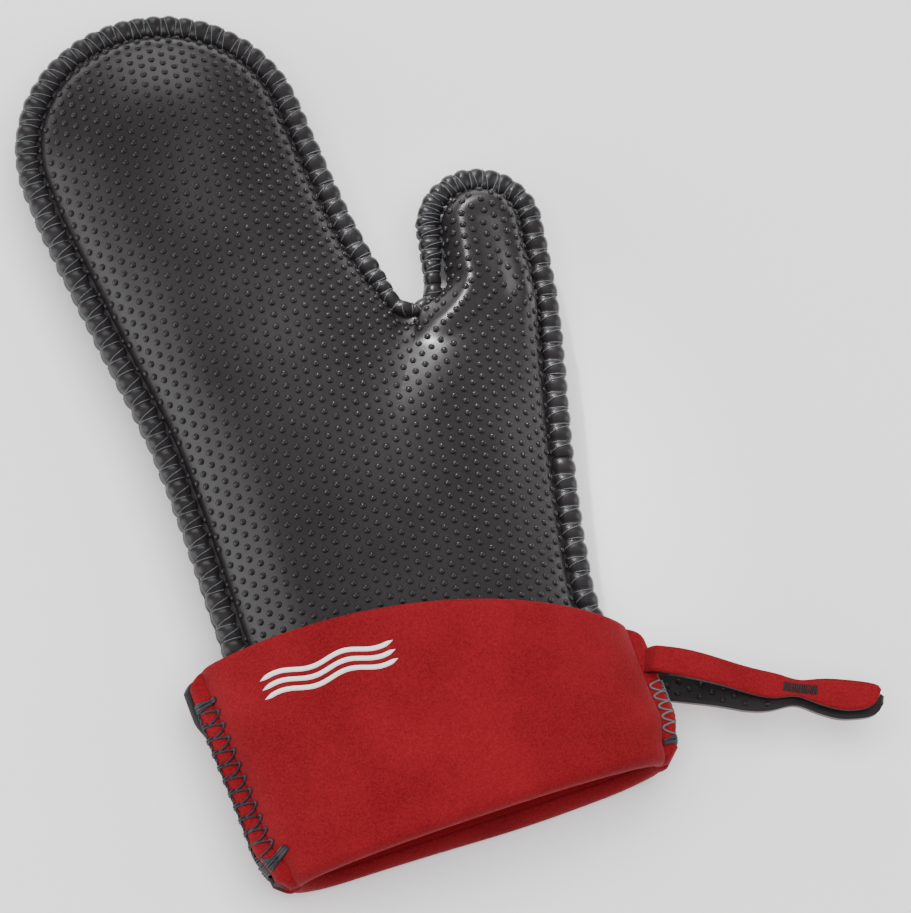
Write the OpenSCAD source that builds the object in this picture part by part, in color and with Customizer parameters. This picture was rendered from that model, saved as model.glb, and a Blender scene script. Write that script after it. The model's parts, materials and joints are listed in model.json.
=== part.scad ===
// Oven mitt of pipped foam rubber lined with knit, lying on its back.
// Z is up through the palm, Y runs to the fingertips and X towards the thumb.

/* [Hand] */
// Length from the mouth edge to the outside of the fingertip seam
mitt_len = 331; // [290:1:390]
// Width of the finger part, seam to seam
hand_w = 109; // [96:1:130]
// Distance of the wrist seam left of the hand axis
wrist_left = 45; // [38:1:52]
// Distance of the wrist seam right of the hand axis
wrist_right = 94; // [84:1:104]
// Height of the inflated palm above the seam
palm_rise = 24; // [18:0.5:30]
// Height of the seam above the table
seam_z = 21; // [17:0.5:26]

/* [Thumb] */
// Distance from the hand axis to the middle of the thumb tip
thumb_x = 98.5; // [90:0.5:108]
// Distance from the mouth edge to the middle of the thumb tip
thumb_y = 213; // [200:0.5:226]
// Radius of the thumb tip, to the outside of the seam
thumb_r = 24; // [21:0.5:27]
// Distance from the mouth edge to the bottom of the crotch
crotch_y = 193.5; // [184:0.5:199]
// Radius of the crotch
crotch_r = 5.6; // [4.5:0.1:6.5]

/* [Sheet] */
// Thickness of the foam rubber
rubber_t = 3.5; // [2.5:0.1:4.2]
// Thickness of the knit bonded to it
knit_t = 0.6; // [0.4:0.1:0.9]
// Width of the overcast edge
bead_w = 9; // [7:0.5:10]
// Clearance between pieces
gap = 0.3; // [0.2:0.05:0.4]

/* [Cuff] */
// Height of the turned-back cuff at its tall corner
cuff_tall = 84.5; // [74:0.5:92]
// Height of the turned-back cuff at its low corner
cuff_low = 48; // [40:0.5:54]
// How far the cuff stands out past the wrist on the tall side
cuff_out = 13.5; // [12:0.5:17]
// How far the cuff stands out past the wrist on the thumb side
cuff_out_r = 7.5; // [6.5:0.5:9]
// Width of the flat sewn edge of the cuff
fin_w = 6; // [5:0.5:7]
// Length of the printed mark
mark_len = 48; // [36:1:54]

/* [Seams] */
// Distance between two overcast stitches
stitch_pitch = 6.2; // [5:0.1:8]
// Thickness of the thread in a stitch
thread_t = 0.9; // [0.6:0.1:1.2]
// Distance between two zigzag stitches
zigzag_pitch = 5.6; // [4.5:0.1:7]

/* [Hanging loop] */
// Width of the strap
strap_w = 10; // [8:0.5:12]
// Distance from the cuff edge to the tail end of the strap
strap_len = 82; // [70:1:95]
// Distance from the cuff edge to the bar tack
tack_at = 46; // [38:1:52]
// Slope of the strap down towards the mouth
strap_slope = 26; // [12:1:26]

/* [Hidden] */
black = "#26262a";
red = "#b3262c";
grey = "#55565a";

sheet_t = rubber_t + knit_t;
fold_r = sheet_t + gap / 2;
half_w = hand_w / 2;
tip_rise = 52;                          // half height of the rounded fingertip
tip = [-3, mitt_len - tip_rise];        // middle of the rounded fingertip
bend_y = crotch_y + 32;                 // where the fingers bend
join = [22, crotch_y - 73.5];           // where the thumb's middle line leaves the hand's
crotch = [tip[0] + half_w + 14.5, crotch_y + crotch_r];
rest_y = join[1] + 20;                  // the origin lies here on the table
thumb_mid = [thumb_x, thumb_y];

function clamp01(v) = min(1, max(0, v));
function ease(v) = let (c = clamp01(v)) c * c * (3 - 2 * c);
function mix(a, b, v) = a + (b - a) * v;
function unit(v) = v / norm(v);
// a smooth curve through keys [y, x] with rising y
function hermite(a, b, ma, mb, v) = a * (2*v*v*v - 3*v*v + 1) + ma * (v*v*v - 2*v*v + v)
  + b * (3*v*v - 2*v*v*v) + mb * (v*v*v - v*v);
function slope(k, i) = let (a = max(0, i - 1), b = min(len(k) - 1, i + 1))
  (k[b][1] - k[a][1]) / (k[b][0] - k[a][0]);
function span_of(k, y, i = 0) = i >= len(k) - 2 || y < k[i + 1][0] ? i : span_of(k, y, i + 1);
function curve(k, y) = let (i = span_of(k, y), h = k[i + 1][0] - k[i][0])
  hermite(k[i][1], k[i + 1][1], slope(k, i) * h, slope(k, i + 1) * h, clamp01((y - k[i][0]) / h));

// ---- the outline of the two panels ----
flare = 10;                             // extra width of the panels at the folded mouth
flare_y = 14;
left_keys = [[0, -wrist_left], [87, -wrist_left], [mix(87, tip[1], 0.4), -wrist_left],
  [mix(87, tip[1], 0.66), mix(-wrist_left, tip[0] - half_w, 0.48)],
  [mix(87, tip[1], 0.9), tip[0] - half_w + 1], [tip[1], tip[0] - half_w]];
right_keys = [[crotch[1], crotch[0] - crotch_r], [mix(crotch[1], tip[1], 0.4), tip[0] + half_w + 3.6],
  [tip[1], tip[0] + half_w]];
outer_end = thumb_mid + thumb_r * [cos(-8), sin(-8)];
outer_keys = [[0, wrist_right + 1], [61, wrist_right - 3.5], [87, wrist_right], [123, wrist_right + 8.3],
  [mix(123, outer_end[1], 0.6), mix(wrist_right + 8.3, outer_end[0], 0.7)], [outer_end[1], outer_end[0]]];
function flared(y) = flare * pow(clamp01(1 - (y - fold_r) / flare_y), 2);
function x_left(y) = curve(left_keys, y) - flared(y);
function x_outer(y) = curve(outer_keys, y) + flared(y) * 0.3;
function inner_edge(v) = mix(crotch + crotch_r * [cos(-22), sin(-22)],
  thumb_mid + thumb_r * [cos(158), sin(158)], v);

// where the thumb bends: a straight line from its inner edge to its outer edge
bend_in = inner_edge(0.22);
bend_out_y = crotch_y - 24;
bend_out = [x_outer(bend_out_y), bend_out_y];
bend_mid = mix(bend_in, bend_out, 0.5);
bend_along = unit(bend_out - bend_in);
thumb_dir = [-bend_along[1], bend_along[0]] * sign(-bend_along[1] + bend_along[0]);
function by_gap(p, side) = p + thumb_dir * side * gap / 2;

// counts of stations along each stretch
n_low = 9; n_palm = 7; n_fing = 5; n_tip = 12; n_crotch = 3; n_web = 5; n_thumb = 4; n_ttip = 10;
// a station is [outline point, number of the middle point that it runs to]
spine = concat(
  [for (i = [0:n_low - 1]) let (y = mix(fold_r, join[1], i / n_low))
    [(x_left(y) + x_outer(y)) / 2, y]],                                       // 0
  [for (i = [0:n_palm]) mix(join, [tip[0] + 2, bend_y - gap / 2], i / n_palm)],   // n_low
  [for (i = [0:n_fing]) mix([tip[0] + 2, bend_y + gap / 2], tip, i / n_fing)],
  [for (i = [1:n_web]) mix(join, by_gap(bend_mid, -1), i / n_web)],
  [for (i = [0:n_thumb]) mix(by_gap(bend_mid, 1), thumb_mid, i / n_thumb)]);
m_join = n_low;
m_bend = m_join + n_palm;
m_fing = m_bend + 1;
m_tip = m_fing + n_fing;
m_web = m_tip;                          // m_web + i is the i-th point towards the thumb
m_thumb = m_web + n_web + 1;
m_ttip = m_thumb + n_thumb;
function web(i) = i == 0 ? m_join : m_web + i;

stations = concat(
  [for (i = [0:n_low + n_palm]) let (y = spine[i][1]) [[x_left(y), y], i]],
  [for (i = [0:n_fing - 1]) let (y = spine[m_fing + i][1]) [[x_left(y), y], m_fing + i]],
  [for (i = [0:n_tip]) [tip + [half_w * cos(180 - 180 * i / n_tip),
    tip_rise * sin(180 - 180 * i / n_tip)], m_tip]],
  [for (i = [n_fing - 1:-1:0]) let (y = spine[m_fing + i][1]) [[curve(right_keys, y), y], m_fing + i]],
  [for (i = [n_palm:-1:1]) let (y = mix(crotch[1], bend_y - gap / 2, i / n_palm))
    [[curve(right_keys, y), y], m_join + i]],
  [for (i = [0:n_crotch]) let (a = 180 + 158 * i / n_crotch)
    [crotch + crotch_r * [cos(a), sin(a)], m_join]],
  [for (i = [1:n_web]) [mix(inner_edge(0), by_gap(bend_in, -1), i / n_web), web(i)]],
  [for (i = [0:n_thumb - 1]) [mix(by_gap(bend_in, 1), inner_edge(1), i / n_thumb), m_thumb + i]],
  [for (i = [0:n_ttip]) let (a = mix(158, -8, i / n_ttip)) [thumb_mid + thumb_r * [cos(a), sin(a)], m_ttip]],
  [for (i = [n_thumb - 1:-1:0]) let (y = mix(bend_out_y, outer_end[1], i / n_thumb))
    [i == 0 ? by_gap(bend_out, 1) : [x_outer(y), y], m_thumb + i]],
  [for (i = [n_web:-1:0]) let (y = mix(join[1], bend_out_y, i / n_web))
    [i == n_web ? by_gap(bend_out, -1) : [x_outer(y), y], web(i)]],
  [for (i = [n_low - 1:-1:0]) let (y = spine[i][1]) [[x_outer(y), y], i]]);
s_bend_l = n_low + n_palm;
s_fing_r = s_bend_l + 1 + n_fing + n_tip + n_fing;
s_bend_r = s_fing_r + 1;
s_crotch = s_bend_r + n_palm;
s_web_in = s_crotch + n_crotch + n_web;
s_thumb_out = s_web_in + 1 + n_thumb + n_ttip + n_thumb;
s_web_out = s_thumb_out + 1;
s_last = len(stations) - 1;

// ---- the surfaces: depth d is 0 outside and sheet_t inside, side is 1 palm and -1 back ----
n_across = 8;
function across(c) = c == 0 ? 1 : cos(90 * (c - 1) / (n_across - 1));
function rise(m) = m <= m_join ? palm_rise
  : m <= m_bend ? palm_rise
  : m <= m_tip ? mix(palm_rise, palm_rise - 4, (m - m_fing) / n_fing)
  : m <= m_web + n_web ? mix(palm_rise, palm_rise - 4, (m - m_web) / n_web)
  : mix(palm_rise - 4, palm_rise - 8, (m - m_thumb) / n_thumb);
function flange(y) = mix(fin_w, bead_w, ease((y - fold_r) / 20));
// height that the back panel keeps above the table, where the cuff lies under it
function lift(y) = (sheet_t + gap) * ease((cuff_tall + 24 - y) / 18);
function crown(s) = sqrt(max(0, 1 - pow(s, 2.2)));
function up(z, side, low) = side > 0 ? seam_z + z : max(low, seam_z - z);
function panel_pt(i, c, d, side) = let (o = stations[i][0], m = stations[i][1], q = spine[m],
    dir = unit(q - o), base = o + dir * (flange(o[1]) + d), s = across(c),
    p = c == 0 ? o : mix(q, base, s), z = sheet_t - d + (c == 0 ? 0 : (rise(m) - sheet_t) * crown(s)))
  [p[0], p[1], up(z, side, lift(p[1]) + d)];

// closed sheets between two depths over runs of stations
n_cols = n_across;
function first_of(m, i = 0) = stations[i][1] == m ? i : first_of(m, i + 1);
firsts = [for (m = [0:len(spine) - 1]) first_of(m)];
function idx(i, c, layer) = layer * len(stations) * (n_cols + 1)
  + (c == n_cols ? firsts[stations[i][1]] : i) * (n_cols + 1) + c;
function tri(a, b, c) = a == b || b == c || a == c ? [] : [[a, b, c]];
function quad(a, b, c, d, flip) = flip ? concat(tri(a, c, b), tri(a, d, c)) : concat(tri(a, b, c), tri(a, c, d));
function sheet_faces(runs, side) = [for (r = runs) each concat(
  [for (i = [r[0]:r[1] - 1], c = [0:n_cols - 1], l = [0, 1])
    each quad(idx(i, c, l), idx(i + 1, c, l), idx(i + 1, c + 1, l), idx(i, c + 1, l), (l == 0) != (side > 0))],
  [for (i = [r[0]:r[1] - 1])
    each quad(idx(i, 0, 0), idx(i + 1, 0, 0), idx(i + 1, 0, 1), idx(i, 0, 1), side > 0)],
  [for (c = [0:n_cols - 1])
    each quad(idx(r[0], c, 0), idx(r[0], c + 1, 0), idx(r[0], c + 1, 1), idx(r[0], c, 1), side < 0)],
  [for (c = [0:n_cols - 1])
    each quad(idx(r[1], c, 0), idx(r[1], c + 1, 0), idx(r[1], c + 1, 1), idx(r[1], c, 1), side > 0)])];
module panel(runs, d0, d1, side) {
  polyhedron(points = [for (d = [d0, d1], i = [0:s_last], c = [0:n_cols]) panel_pt(i, c, d, side)],
    faces = sheet_faces(runs, side), convexity = 8);
}
hand_runs = [[0, s_bend_l], [s_bend_r, s_web_in], [s_web_out, s_last]];
finger_runs = [[s_bend_l + 1, s_fing_r]];
thumb_runs = [[s_web_in + 1, s_thumb_out]];

module place() { translate([0, -rest_y, 0]) children(); }
module rubber(runs, side) { color(black) place() panel(runs, 0, rubber_t, side); }
module lining(runs, side) { color(red) place() panel(runs, rubber_t, sheet_t, side); }

module palm_rubber() { rubber(hand_runs, 1); }
module palm_lining() { lining(hand_runs, 1); }
module back_rubber() { rubber(hand_runs, -1); }
module back_lining() { lining(hand_runs, -1); }
module finger_palm_rubber() { rubber(finger_runs, 1); }
module finger_palm_lining() { lining(finger_runs, 1); }
module finger_back_rubber() { rubber(finger_runs, -1); }
module finger_back_lining() { lining(finger_runs, -1); }
module thumb_palm_rubber() { rubber(thumb_runs, 1); }
module thumb_palm_lining() { lining(thumb_runs, 1); }
module thumb_back_rubber() { rubber(thumb_runs, -1); }
module thumb_back_lining() { lining(thumb_runs, -1); }

// ---- the turned-back cuff ----
n_rise = 7;
n_fold = 6;
cuff_cols = 2 * n_cols;
function cuff_x0(y) = mix(x_left(fold_r), -wrist_left - cuff_out, ease((y - fold_r) / 14))
  - 2 * ease((y - 20) / 60);
function cuff_x1(y) = mix(x_outer(fold_r), wrist_right + cuff_out_r, ease((y - fold_r) / 14));
cuff_edge_l = -wrist_left - cuff_out;
cuff_edge_r = wrist_right + cuff_out_r;
function cuff_top(x) = cuff_low + (cuff_tall - cuff_low)
  * (1 - pow(clamp01((x - cuff_edge_l) / (cuff_edge_r - cuff_edge_l)), 2.8));
// how far the flat edge is pushed out by the panel folded inside it
function fin_push(y) = (sheet_t + gap) * (1 - ease((y - flare_y + 4) / 18));
function cuff_pt(j, y, d, side) = let (right = j > n_cols, c = right ? cuff_cols - j : j,
    x0 = cuff_x0(y), x1 = cuff_x1(y), xs = (x0 + x1) / 2, s = across(c), push = fin_push(y),
    base = right ? x1 - fin_w - d : x0 + fin_w + d,
    x = c == 0 ? (right ? x1 : x0) : mix(xs, base, s),
    z = sheet_t - d + push
      + (c == 0 ? 0 : (palm_rise + gap - push) * crown(s)))
  [x, y, up(z, side, d)];
function mouth_pt(j, d, side) = panel_pt(j > n_cols ? s_last : 0, j > n_cols ? cuff_cols - j : j, d, side);
// depth q is sheet_t on the knit face and 0 on the rubber face
function cuff_grid(k, j, q, side) = k <= n_fold
  ? let (a = mouth_pt(j, q, side), b = cuff_pt(j, fold_r, sheet_t - q, side), f = 180 * k / n_fold)
    (a + b) / 2 + (a - b) / 2 * cos(f) - [0, (q + gap / 2) * sin(f), 0]
  : let (x = cuff_pt(j, 40, 0, side)[0], v = (k - n_fold) / n_rise)
    cuff_pt(j, mix(fold_r, cuff_top(x), v), sheet_t - q, side);
module cuff(q0, q1, side) {
  rows = n_fold + n_rise;
  w = cuff_cols + 1;
  function at(k, j, l) = l * (rows + 1) * w + k * w + j;
  flip = side > 0;
  polyhedron(points = [for (q = [q0, q1], k = [0:rows], j = [0:cuff_cols]) cuff_grid(k, j, q, side)],
    faces = concat(
      [for (k = [0:rows - 1], j = [0:cuff_cols - 1], l = [0, 1])
        each quad(at(k, j, l), at(k, j + 1, l), at(k + 1, j + 1, l), at(k + 1, j, l), (l == 1) == flip)],
      [for (k = [0:rows - 1], e = [0, 1])
        each quad(at(k, e * cuff_cols, 0), at(k + 1, e * cuff_cols, 0), at(k + 1, e * cuff_cols, 1),
          at(k, e * cuff_cols, 1), (e == 1) == flip)],
      [for (j = [0:cuff_cols - 1], e = [0, 1])
        each quad(at(e * rows, j, 0), at(e * rows, j + 1, 0), at(e * rows, j + 1, 1),
          at(e * rows, j, 1), (e == 0) == flip)]), convexity = 8);
}
module palm_cuff_rubber() { color(black) place() cuff(0, rubber_t, 1); }
module palm_cuff_knit() { color(red) place() cuff(rubber_t, sheet_t, 1); }
module back_cuff_rubber() { color(black) place() cuff(0, rubber_t, -1); }
module back_cuff_knit() { color(red) place() cuff(rubber_t, sheet_t, -1); }

// ---- stitches: a flat frame of thread round the two sheets ----
module stitch(w, h, turn) {
  rotate([90, 0, turn]) translate([0, 0, -thread_t / 2]) linear_extrude(thread_t)
    difference() {
      translate([-thread_t / 2, -h / 2 - thread_t]) square([w + thread_t, h + 2 * thread_t]);
      translate([thread_t / 2, -h / 2]) square([w - thread_t, h]);
    }
}
function outline(a, b) = [for (i = [a:b]) stations[i][0]];
function run_len(p, i = 0) = i >= len(p) - 1 ? 0 : norm(p[i + 1] - p[i]) + run_len(p, i + 1);
function run_at(p, s, i = 0) = let (l = norm(p[i + 1] - p[i]))
  s <= l || i >= len(p) - 2 ? [mix(p[i], p[i + 1], s / l), p[i + 1] - p[i]] : run_at(p, s - l, i + 1);
// stitches in a row along an outline, their frames turned inwards
module overcast(p, w, skip0 = 3, skip1 = 3, turn = 0) {
  total = run_len(p) - skip0 - skip1;
  n = round(total / stitch_pitch);
  for (i = [0:n]) let (s = run_at(p, skip0 + total * i / n), a = atan2(s[1][1], s[1][0]))
    translate([s[0][0], s[0][1], seam_z]) stitch(w, 2 * sheet_t + 0.1, a - 90 + turn);
}
module edge_thread_hand() {
  color(grey) place() overcast(outline(4, s_bend_l), bead_w);
}
module edge_thread_side() {
  color(grey) place() overcast(outline(s_web_out, s_last - 4), bead_w);
}
module crotch_tack() {
  color(grey) place() overcast(outline(s_bend_r, s_web_in), bead_w * 0.5);
}
module finger_edge_thread() {
  color(grey) place() overcast(outline(s_bend_l + 1, s_fing_r), bead_w);
}
// how far a stitch of this width stays from the thumb's bend, so that it does not reach over it
function clear_of_bend(w) = let (t = unit(stations[s_thumb_out][0] - stations[s_thumb_out - 1][0]))
  (w * abs(cross(t, thumb_dir)) + thread_t + gap) / abs(t * thumb_dir);
module thumb_edge_thread() {
  w = bead_w * 0.85;
  color(grey) place() overcast(outline(s_web_in + 1, s_thumb_out), w, 4, clear_of_bend(w));
}
// zigzag through the flat edges of both cuff flaps
module zigzag(right, y0, y1, lean) {
  n = round((y1 - y0) / zigzag_pitch);
  for (i = [0:n - 1]) let (y = mix(y0, y1, (i + 0.5) / n), x = right ? cuff_x1(y) : cuff_x0(y))
    translate([x, y, seam_z])
      stitch(fin_w, 2 * (sheet_t + fin_push(y)) + 0.1, (right ? 180 : 0) + (i % 2 == 0 ? lean : -lean));
}
module cuff_zigzag_left() { color(grey) place() zigzag(false, 28, cuff_tall - 14, 18); }
module cuff_zigzag_right() { color(grey) place() zigzag(true, 11, strap_low - 1, 16); }
module tack(right, y) {
  x = right ? cuff_x1(y) : cuff_x0(y);
  translate([x, y, seam_z]) stitch(fin_w + 1, 2 * (sheet_t + fin_push(y)) + 0.1, right ? 180 : 0);
}
module cuff_tacks() {
  color(grey) place() for (k = [-1, 1]) {
    tack(false, 22 + k * thread_t * 0.6);
    tack(false, cuff_tall - 9 + k * thread_t * 0.6);
    tack(true, 8 + k * thread_t * 0.6);
  }
}
// three plain waves printed on the palm side of the cuff
mark_at = [-14.5, 66.5];
mark_turn = -3;
function cuff_skin(x, y) = let (x0 = cuff_x0(y), x1 = cuff_x1(y), xs = (x0 + x1) / 2,
    half = (x1 - x0) / 2 - fin_w)
  seam_z + sheet_t + (palm_rise + gap) * crown(abs(x - xs) / half);
module cuff_mark() {
  ink_t = 0.12;
  n = 24;
  color("white") place() for (k = [-1, 0, 1]) {
    pts = [for (l = [0, 1], i = [0:n], e = [-1, 1])
      let (u = mix(-0.5, 0.5, i / n) * mark_len, v = k * 3.4 + 1.1 * sin(720 * i / n) + e * 0.8,
        x = mark_at[0] + u * cos(mark_turn) - v * sin(mark_turn),
        y = mark_at[1] + u * sin(mark_turn) + v * cos(mark_turn))
      [x, y, cuff_skin(x, y) + 0.15 + l * ink_t]];
    w = 2 * (n + 1);
    polyhedron(points = pts, faces = concat(
      [for (i = [0:n - 1]) each quad(2*i, 2*i + 1, 2*i + 3, 2*i + 2, true)],
      [for (i = [0:n - 1]) each quad(w + 2*i, w + 2*i + 1, w + 2*i + 3, w + 2*i + 2, false)],
      [for (i = [0:n - 1]) each quad(2*i, 2*i + 2, w + 2*i + 2, w + 2*i, true)],
      [for (i = [0:n - 1]) each quad(2*i + 1, 2*i + 3, w + 2*i + 3, w + 2*i + 1, false)],
      quad(0, 1, w + 1, w, false), quad(2*n, 2*n + 1, w + 2*n + 1, w + 2*n, true)));
  }
}

// ---- the hanging loop: a strap through the cuff edge, its two ends sewn together ----
strap_mid_y = cuff_low - 11.5;
strap_low = strap_mid_y - strap_w / 2;
strap_root = [cuff_edge_r + 1.5, strap_mid_y, seam_z];
strand_z = sheet_t + 1.2;               // half the distance between the strands at the cuff
swing_r = strand_z + sheet_t + 2;       // the free strands start at this radius from the hinge
root_in = 1.5;                          // where the strap's inner face goes down through the cuff
// height of a strand's inner face above the middle plane, at distance u from the hinge
function strand(u) = mix(strand_z, 0.15, ease((u - 8) / (tack_at - 12)));
function strand_line(u0, u1, a) = let (n = 14) [for (i = [0:n]) let (u = mix(u0, u1, i / n)) [u, strand(u) + a]];
function backwards(p) = [for (i = [len(p) - 1:-1:0]) p[i]];
module strap_frame() { translate(strap_root) rotate([0, 0, -strap_slope]) children(); }
// the rear strand comes out lower than the front one
strand_shift = 2;
// both strands of the free loop, between two depths of the sheet
module strands(a, b) {
  strap_frame() for (m = [0, 1]) translate([0, strand_shift * (1 - 2 * m), 0]) mirror([0, 0, m])
    rotate([90, 0, 0]) linear_extrude(strap_w, center = true) difference() {
      polygon(concat(strand_line(2, strap_len - m * 2, a), backwards(strand_line(2, strap_len - m * 2, b))));
      circle(swing_r + gap / 2, $fn = 48);
    }
}
// half of the middle of the strap, which goes down through the cuff edge
module bight(a) {
  polygon(concat([[-root_in - a, 0]], strand_line(-root_in - a, swing_r + 4, a), [[swing_r + 4, 0]]));
}
module roots(a, b) {
  strap_frame() for (m = [0, 1]) translate([0, strand_shift * (1 - 2 * m), 0]) mirror([0, 0, m])
    rotate([90, 0, 0]) linear_extrude(strap_w, center = true) intersection() {
      difference() {
        bight(b);
        bight(a);
        translate([swing_r, -1]) square([10, strand_z + a + 1]);
      }
      union() {
        circle(swing_r - gap / 2, $fn = 48);
        translate([-20, -20]) square([20, 40]);
      }
    }
}
module strap_rubber() { color(black) place() strands(0, rubber_t); }
module strap_knit() { color(red) place() strands(rubber_t, sheet_t); }
module strap_root_rubber() { color(black) place() roots(0, rubber_t); }
module strap_root_knit() { color(red) place() roots(rubber_t, sheet_t); }
module strap_bar_tack() {
  color("#2a2a2c") place() strap_frame() for (i = [-2:2])
    translate([tack_at + 5 + i * 2.4, -strap_w / 2 - strand_shift - 0.1, 0]) rotate([0, 0, 90])
      stitch(strap_w + 2 * strand_shift + 0.2, 2 * (sheet_t + 0.15) + 0.1, 0);
}

palm_rubber();
palm_lining();
back_rubber();
back_lining();
palm_cuff_rubber();
palm_cuff_knit();
back_cuff_rubber();
back_cuff_knit();
edge_thread_hand();
edge_thread_side();
crotch_tack();
cuff_zigzag_left();
cuff_zigzag_right();
cuff_tacks();
cuff_mark();
strap_root_rubber();
strap_root_knit();
finger_palm_rubber();
finger_palm_lining();
finger_back_rubber();
finger_back_lining();
finger_edge_thread();
thumb_palm_rubber();
thumb_palm_lining();
thumb_back_rubber();
thumb_back_lining();
thumb_edge_thread();
strap_rubber();
strap_knit();
strap_bar_tack();
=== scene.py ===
# %% [markdown]
# # An oven mitt of pipped rubber and red knit
# The mitt is two sheets, each a foam rubber with pips outside and a knit bonded to its inside. Their
# edges are sewn together with an overcast seam, and below they turn back outwards to make the red
# cuff. This file builds what the eye sees round a finished CAD frame, piece by piece.

# %% Load the frame
import json
import math
import bmesh
import bpy
import numpy as np
from mathutils import Matrix, Vector
from mathutils.bvhtree import BVHTree


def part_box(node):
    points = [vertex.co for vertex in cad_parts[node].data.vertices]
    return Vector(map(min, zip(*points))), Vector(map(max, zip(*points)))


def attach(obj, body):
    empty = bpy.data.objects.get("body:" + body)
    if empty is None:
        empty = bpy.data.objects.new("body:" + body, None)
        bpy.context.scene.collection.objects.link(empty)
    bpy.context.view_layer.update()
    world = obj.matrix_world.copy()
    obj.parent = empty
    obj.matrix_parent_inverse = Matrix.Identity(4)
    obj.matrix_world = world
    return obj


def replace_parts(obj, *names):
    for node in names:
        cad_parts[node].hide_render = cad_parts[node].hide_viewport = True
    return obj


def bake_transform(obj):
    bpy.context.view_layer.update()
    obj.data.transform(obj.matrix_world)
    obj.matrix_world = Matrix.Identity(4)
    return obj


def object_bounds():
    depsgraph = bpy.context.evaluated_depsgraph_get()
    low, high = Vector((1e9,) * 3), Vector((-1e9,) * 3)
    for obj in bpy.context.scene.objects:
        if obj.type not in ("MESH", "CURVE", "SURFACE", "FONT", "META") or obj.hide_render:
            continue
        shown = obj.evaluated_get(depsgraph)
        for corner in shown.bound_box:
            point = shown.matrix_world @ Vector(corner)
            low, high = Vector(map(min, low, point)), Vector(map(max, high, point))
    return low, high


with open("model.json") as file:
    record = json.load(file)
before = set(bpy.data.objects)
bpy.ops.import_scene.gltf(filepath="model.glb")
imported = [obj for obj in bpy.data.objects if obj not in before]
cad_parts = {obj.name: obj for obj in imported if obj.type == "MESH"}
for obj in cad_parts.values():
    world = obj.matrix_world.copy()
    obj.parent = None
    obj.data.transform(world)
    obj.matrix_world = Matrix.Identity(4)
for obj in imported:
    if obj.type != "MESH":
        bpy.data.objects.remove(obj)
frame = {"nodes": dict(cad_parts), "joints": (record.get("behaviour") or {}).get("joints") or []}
cad_box = [list(map(float, corner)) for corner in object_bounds()]
low, high = cad_box
MM = 0.001
print("frame:", len(frame["nodes"]), "nodes,", [round(1000 * (b - a)) for a, b in zip(low, high)], "mm")

# %% [markdown]
# ## The sizes
# The shape functions work in millimetres in the mitt's own numbers: y is 0 at the mouth edge, x is 0
# on the hand's middle line and z is 0 on the table. The frame gives where the mouth, the seam and the
# hinges are, so the pieces land on the CAD without any fitting.

# %% Sizes from the frame
joints = {j["name"]: j for j in frame["joints"]}
rest_y = -1000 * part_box("palm_cuff_knit")[0].y        # the origin lies this far from the mouth
mitt_len = 1000 * high[1] + rest_y
seam_z = 1000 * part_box("palm_lining")[0].z
sheet_t, rubber_t = 4.1, 3.5
gap = 0.3
fold_r = sheet_t + gap / 2
palm_rise = 24.0
half_w, tip_rise = 54.5, 52.0
wrist_left, wrist_right = 45.0, 94.0
tip = np.array([-3.0, mitt_len - tip_rise])
bend_y = 1000 * joints["finger_bend"]["pos_m"][1] + rest_y
crotch_r = 5.6
crotch = np.array([tip[0] + half_w + 14.5, bend_y - 32 + crotch_r])
join = np.array([22.0, bend_y - 105.5])
thumb_mid, thumb_r = np.array([98.5, 213.0]), 24.0
bead_w = 9.0
print("seam at", round(seam_z, 1), "mitt length", round(mitt_len, 1), "bend at", round(bend_y, 1))


def place(points):
    """Millimetres in the mitt's own numbers to metres in the frame."""
    p = np.array(points, float).reshape(-1, 3)
    return (p - [0, rest_y, 0]) * MM


# %% [markdown]
# ## Curves
# A sewing pattern is a few points with a smooth line through them. These helpers draw such lines in
# plain numbers: mix goes straight from one value to another, ease starts and stops softly, and curve
# goes through a list of points. Blender curves would do too, but the same line is needed again for
# the seam, the pips, the stitches and the cuff, and numbers are easy to ask.

# %% Small helpers for curves
def mix(a, b, v):
    return a + (b - a) * v


def ease(v):
    c = np.clip(v, 0, 1)
    return c * c * (3 - 2 * c)


def curve(keys, y):
    """A smooth curve through keys (y, x) with rising y."""
    k = np.array(keys, float)
    y = np.atleast_1d(np.asarray(y, float))
    m = np.array([(k[min(i + 1, len(k) - 1), 1] - k[max(i - 1, 0), 1])
                  / (k[min(i + 1, len(k) - 1), 0] - k[max(i - 1, 0), 0]) for i in range(len(k))])
    i = np.clip(np.searchsorted(k[:, 0], y, "right") - 1, 0, len(k) - 2)
    h = k[i + 1, 0] - k[i, 0]
    v = np.clip((y - k[i, 0]) / h, 0, 1)
    return (k[i, 1] * (2 * v**3 - 3 * v**2 + 1) + m[i] * h * (v**3 - 2 * v**2 + v)
            + k[i + 1, 1] * (3 * v**2 - 2 * v**3) + m[i + 1] * h * (v**3 - v**2))


# %% [markdown]
# ## The outline of the two sheets
# Both sheets are cut to one outline. It runs up the little-finger side, round the fingertips, down to
# the crotch, round the thumb and down to the cuff. Each point of it has a partner on the middle line
# of the hand or of the thumb, and the dome of the sheet rises between the two.

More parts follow.
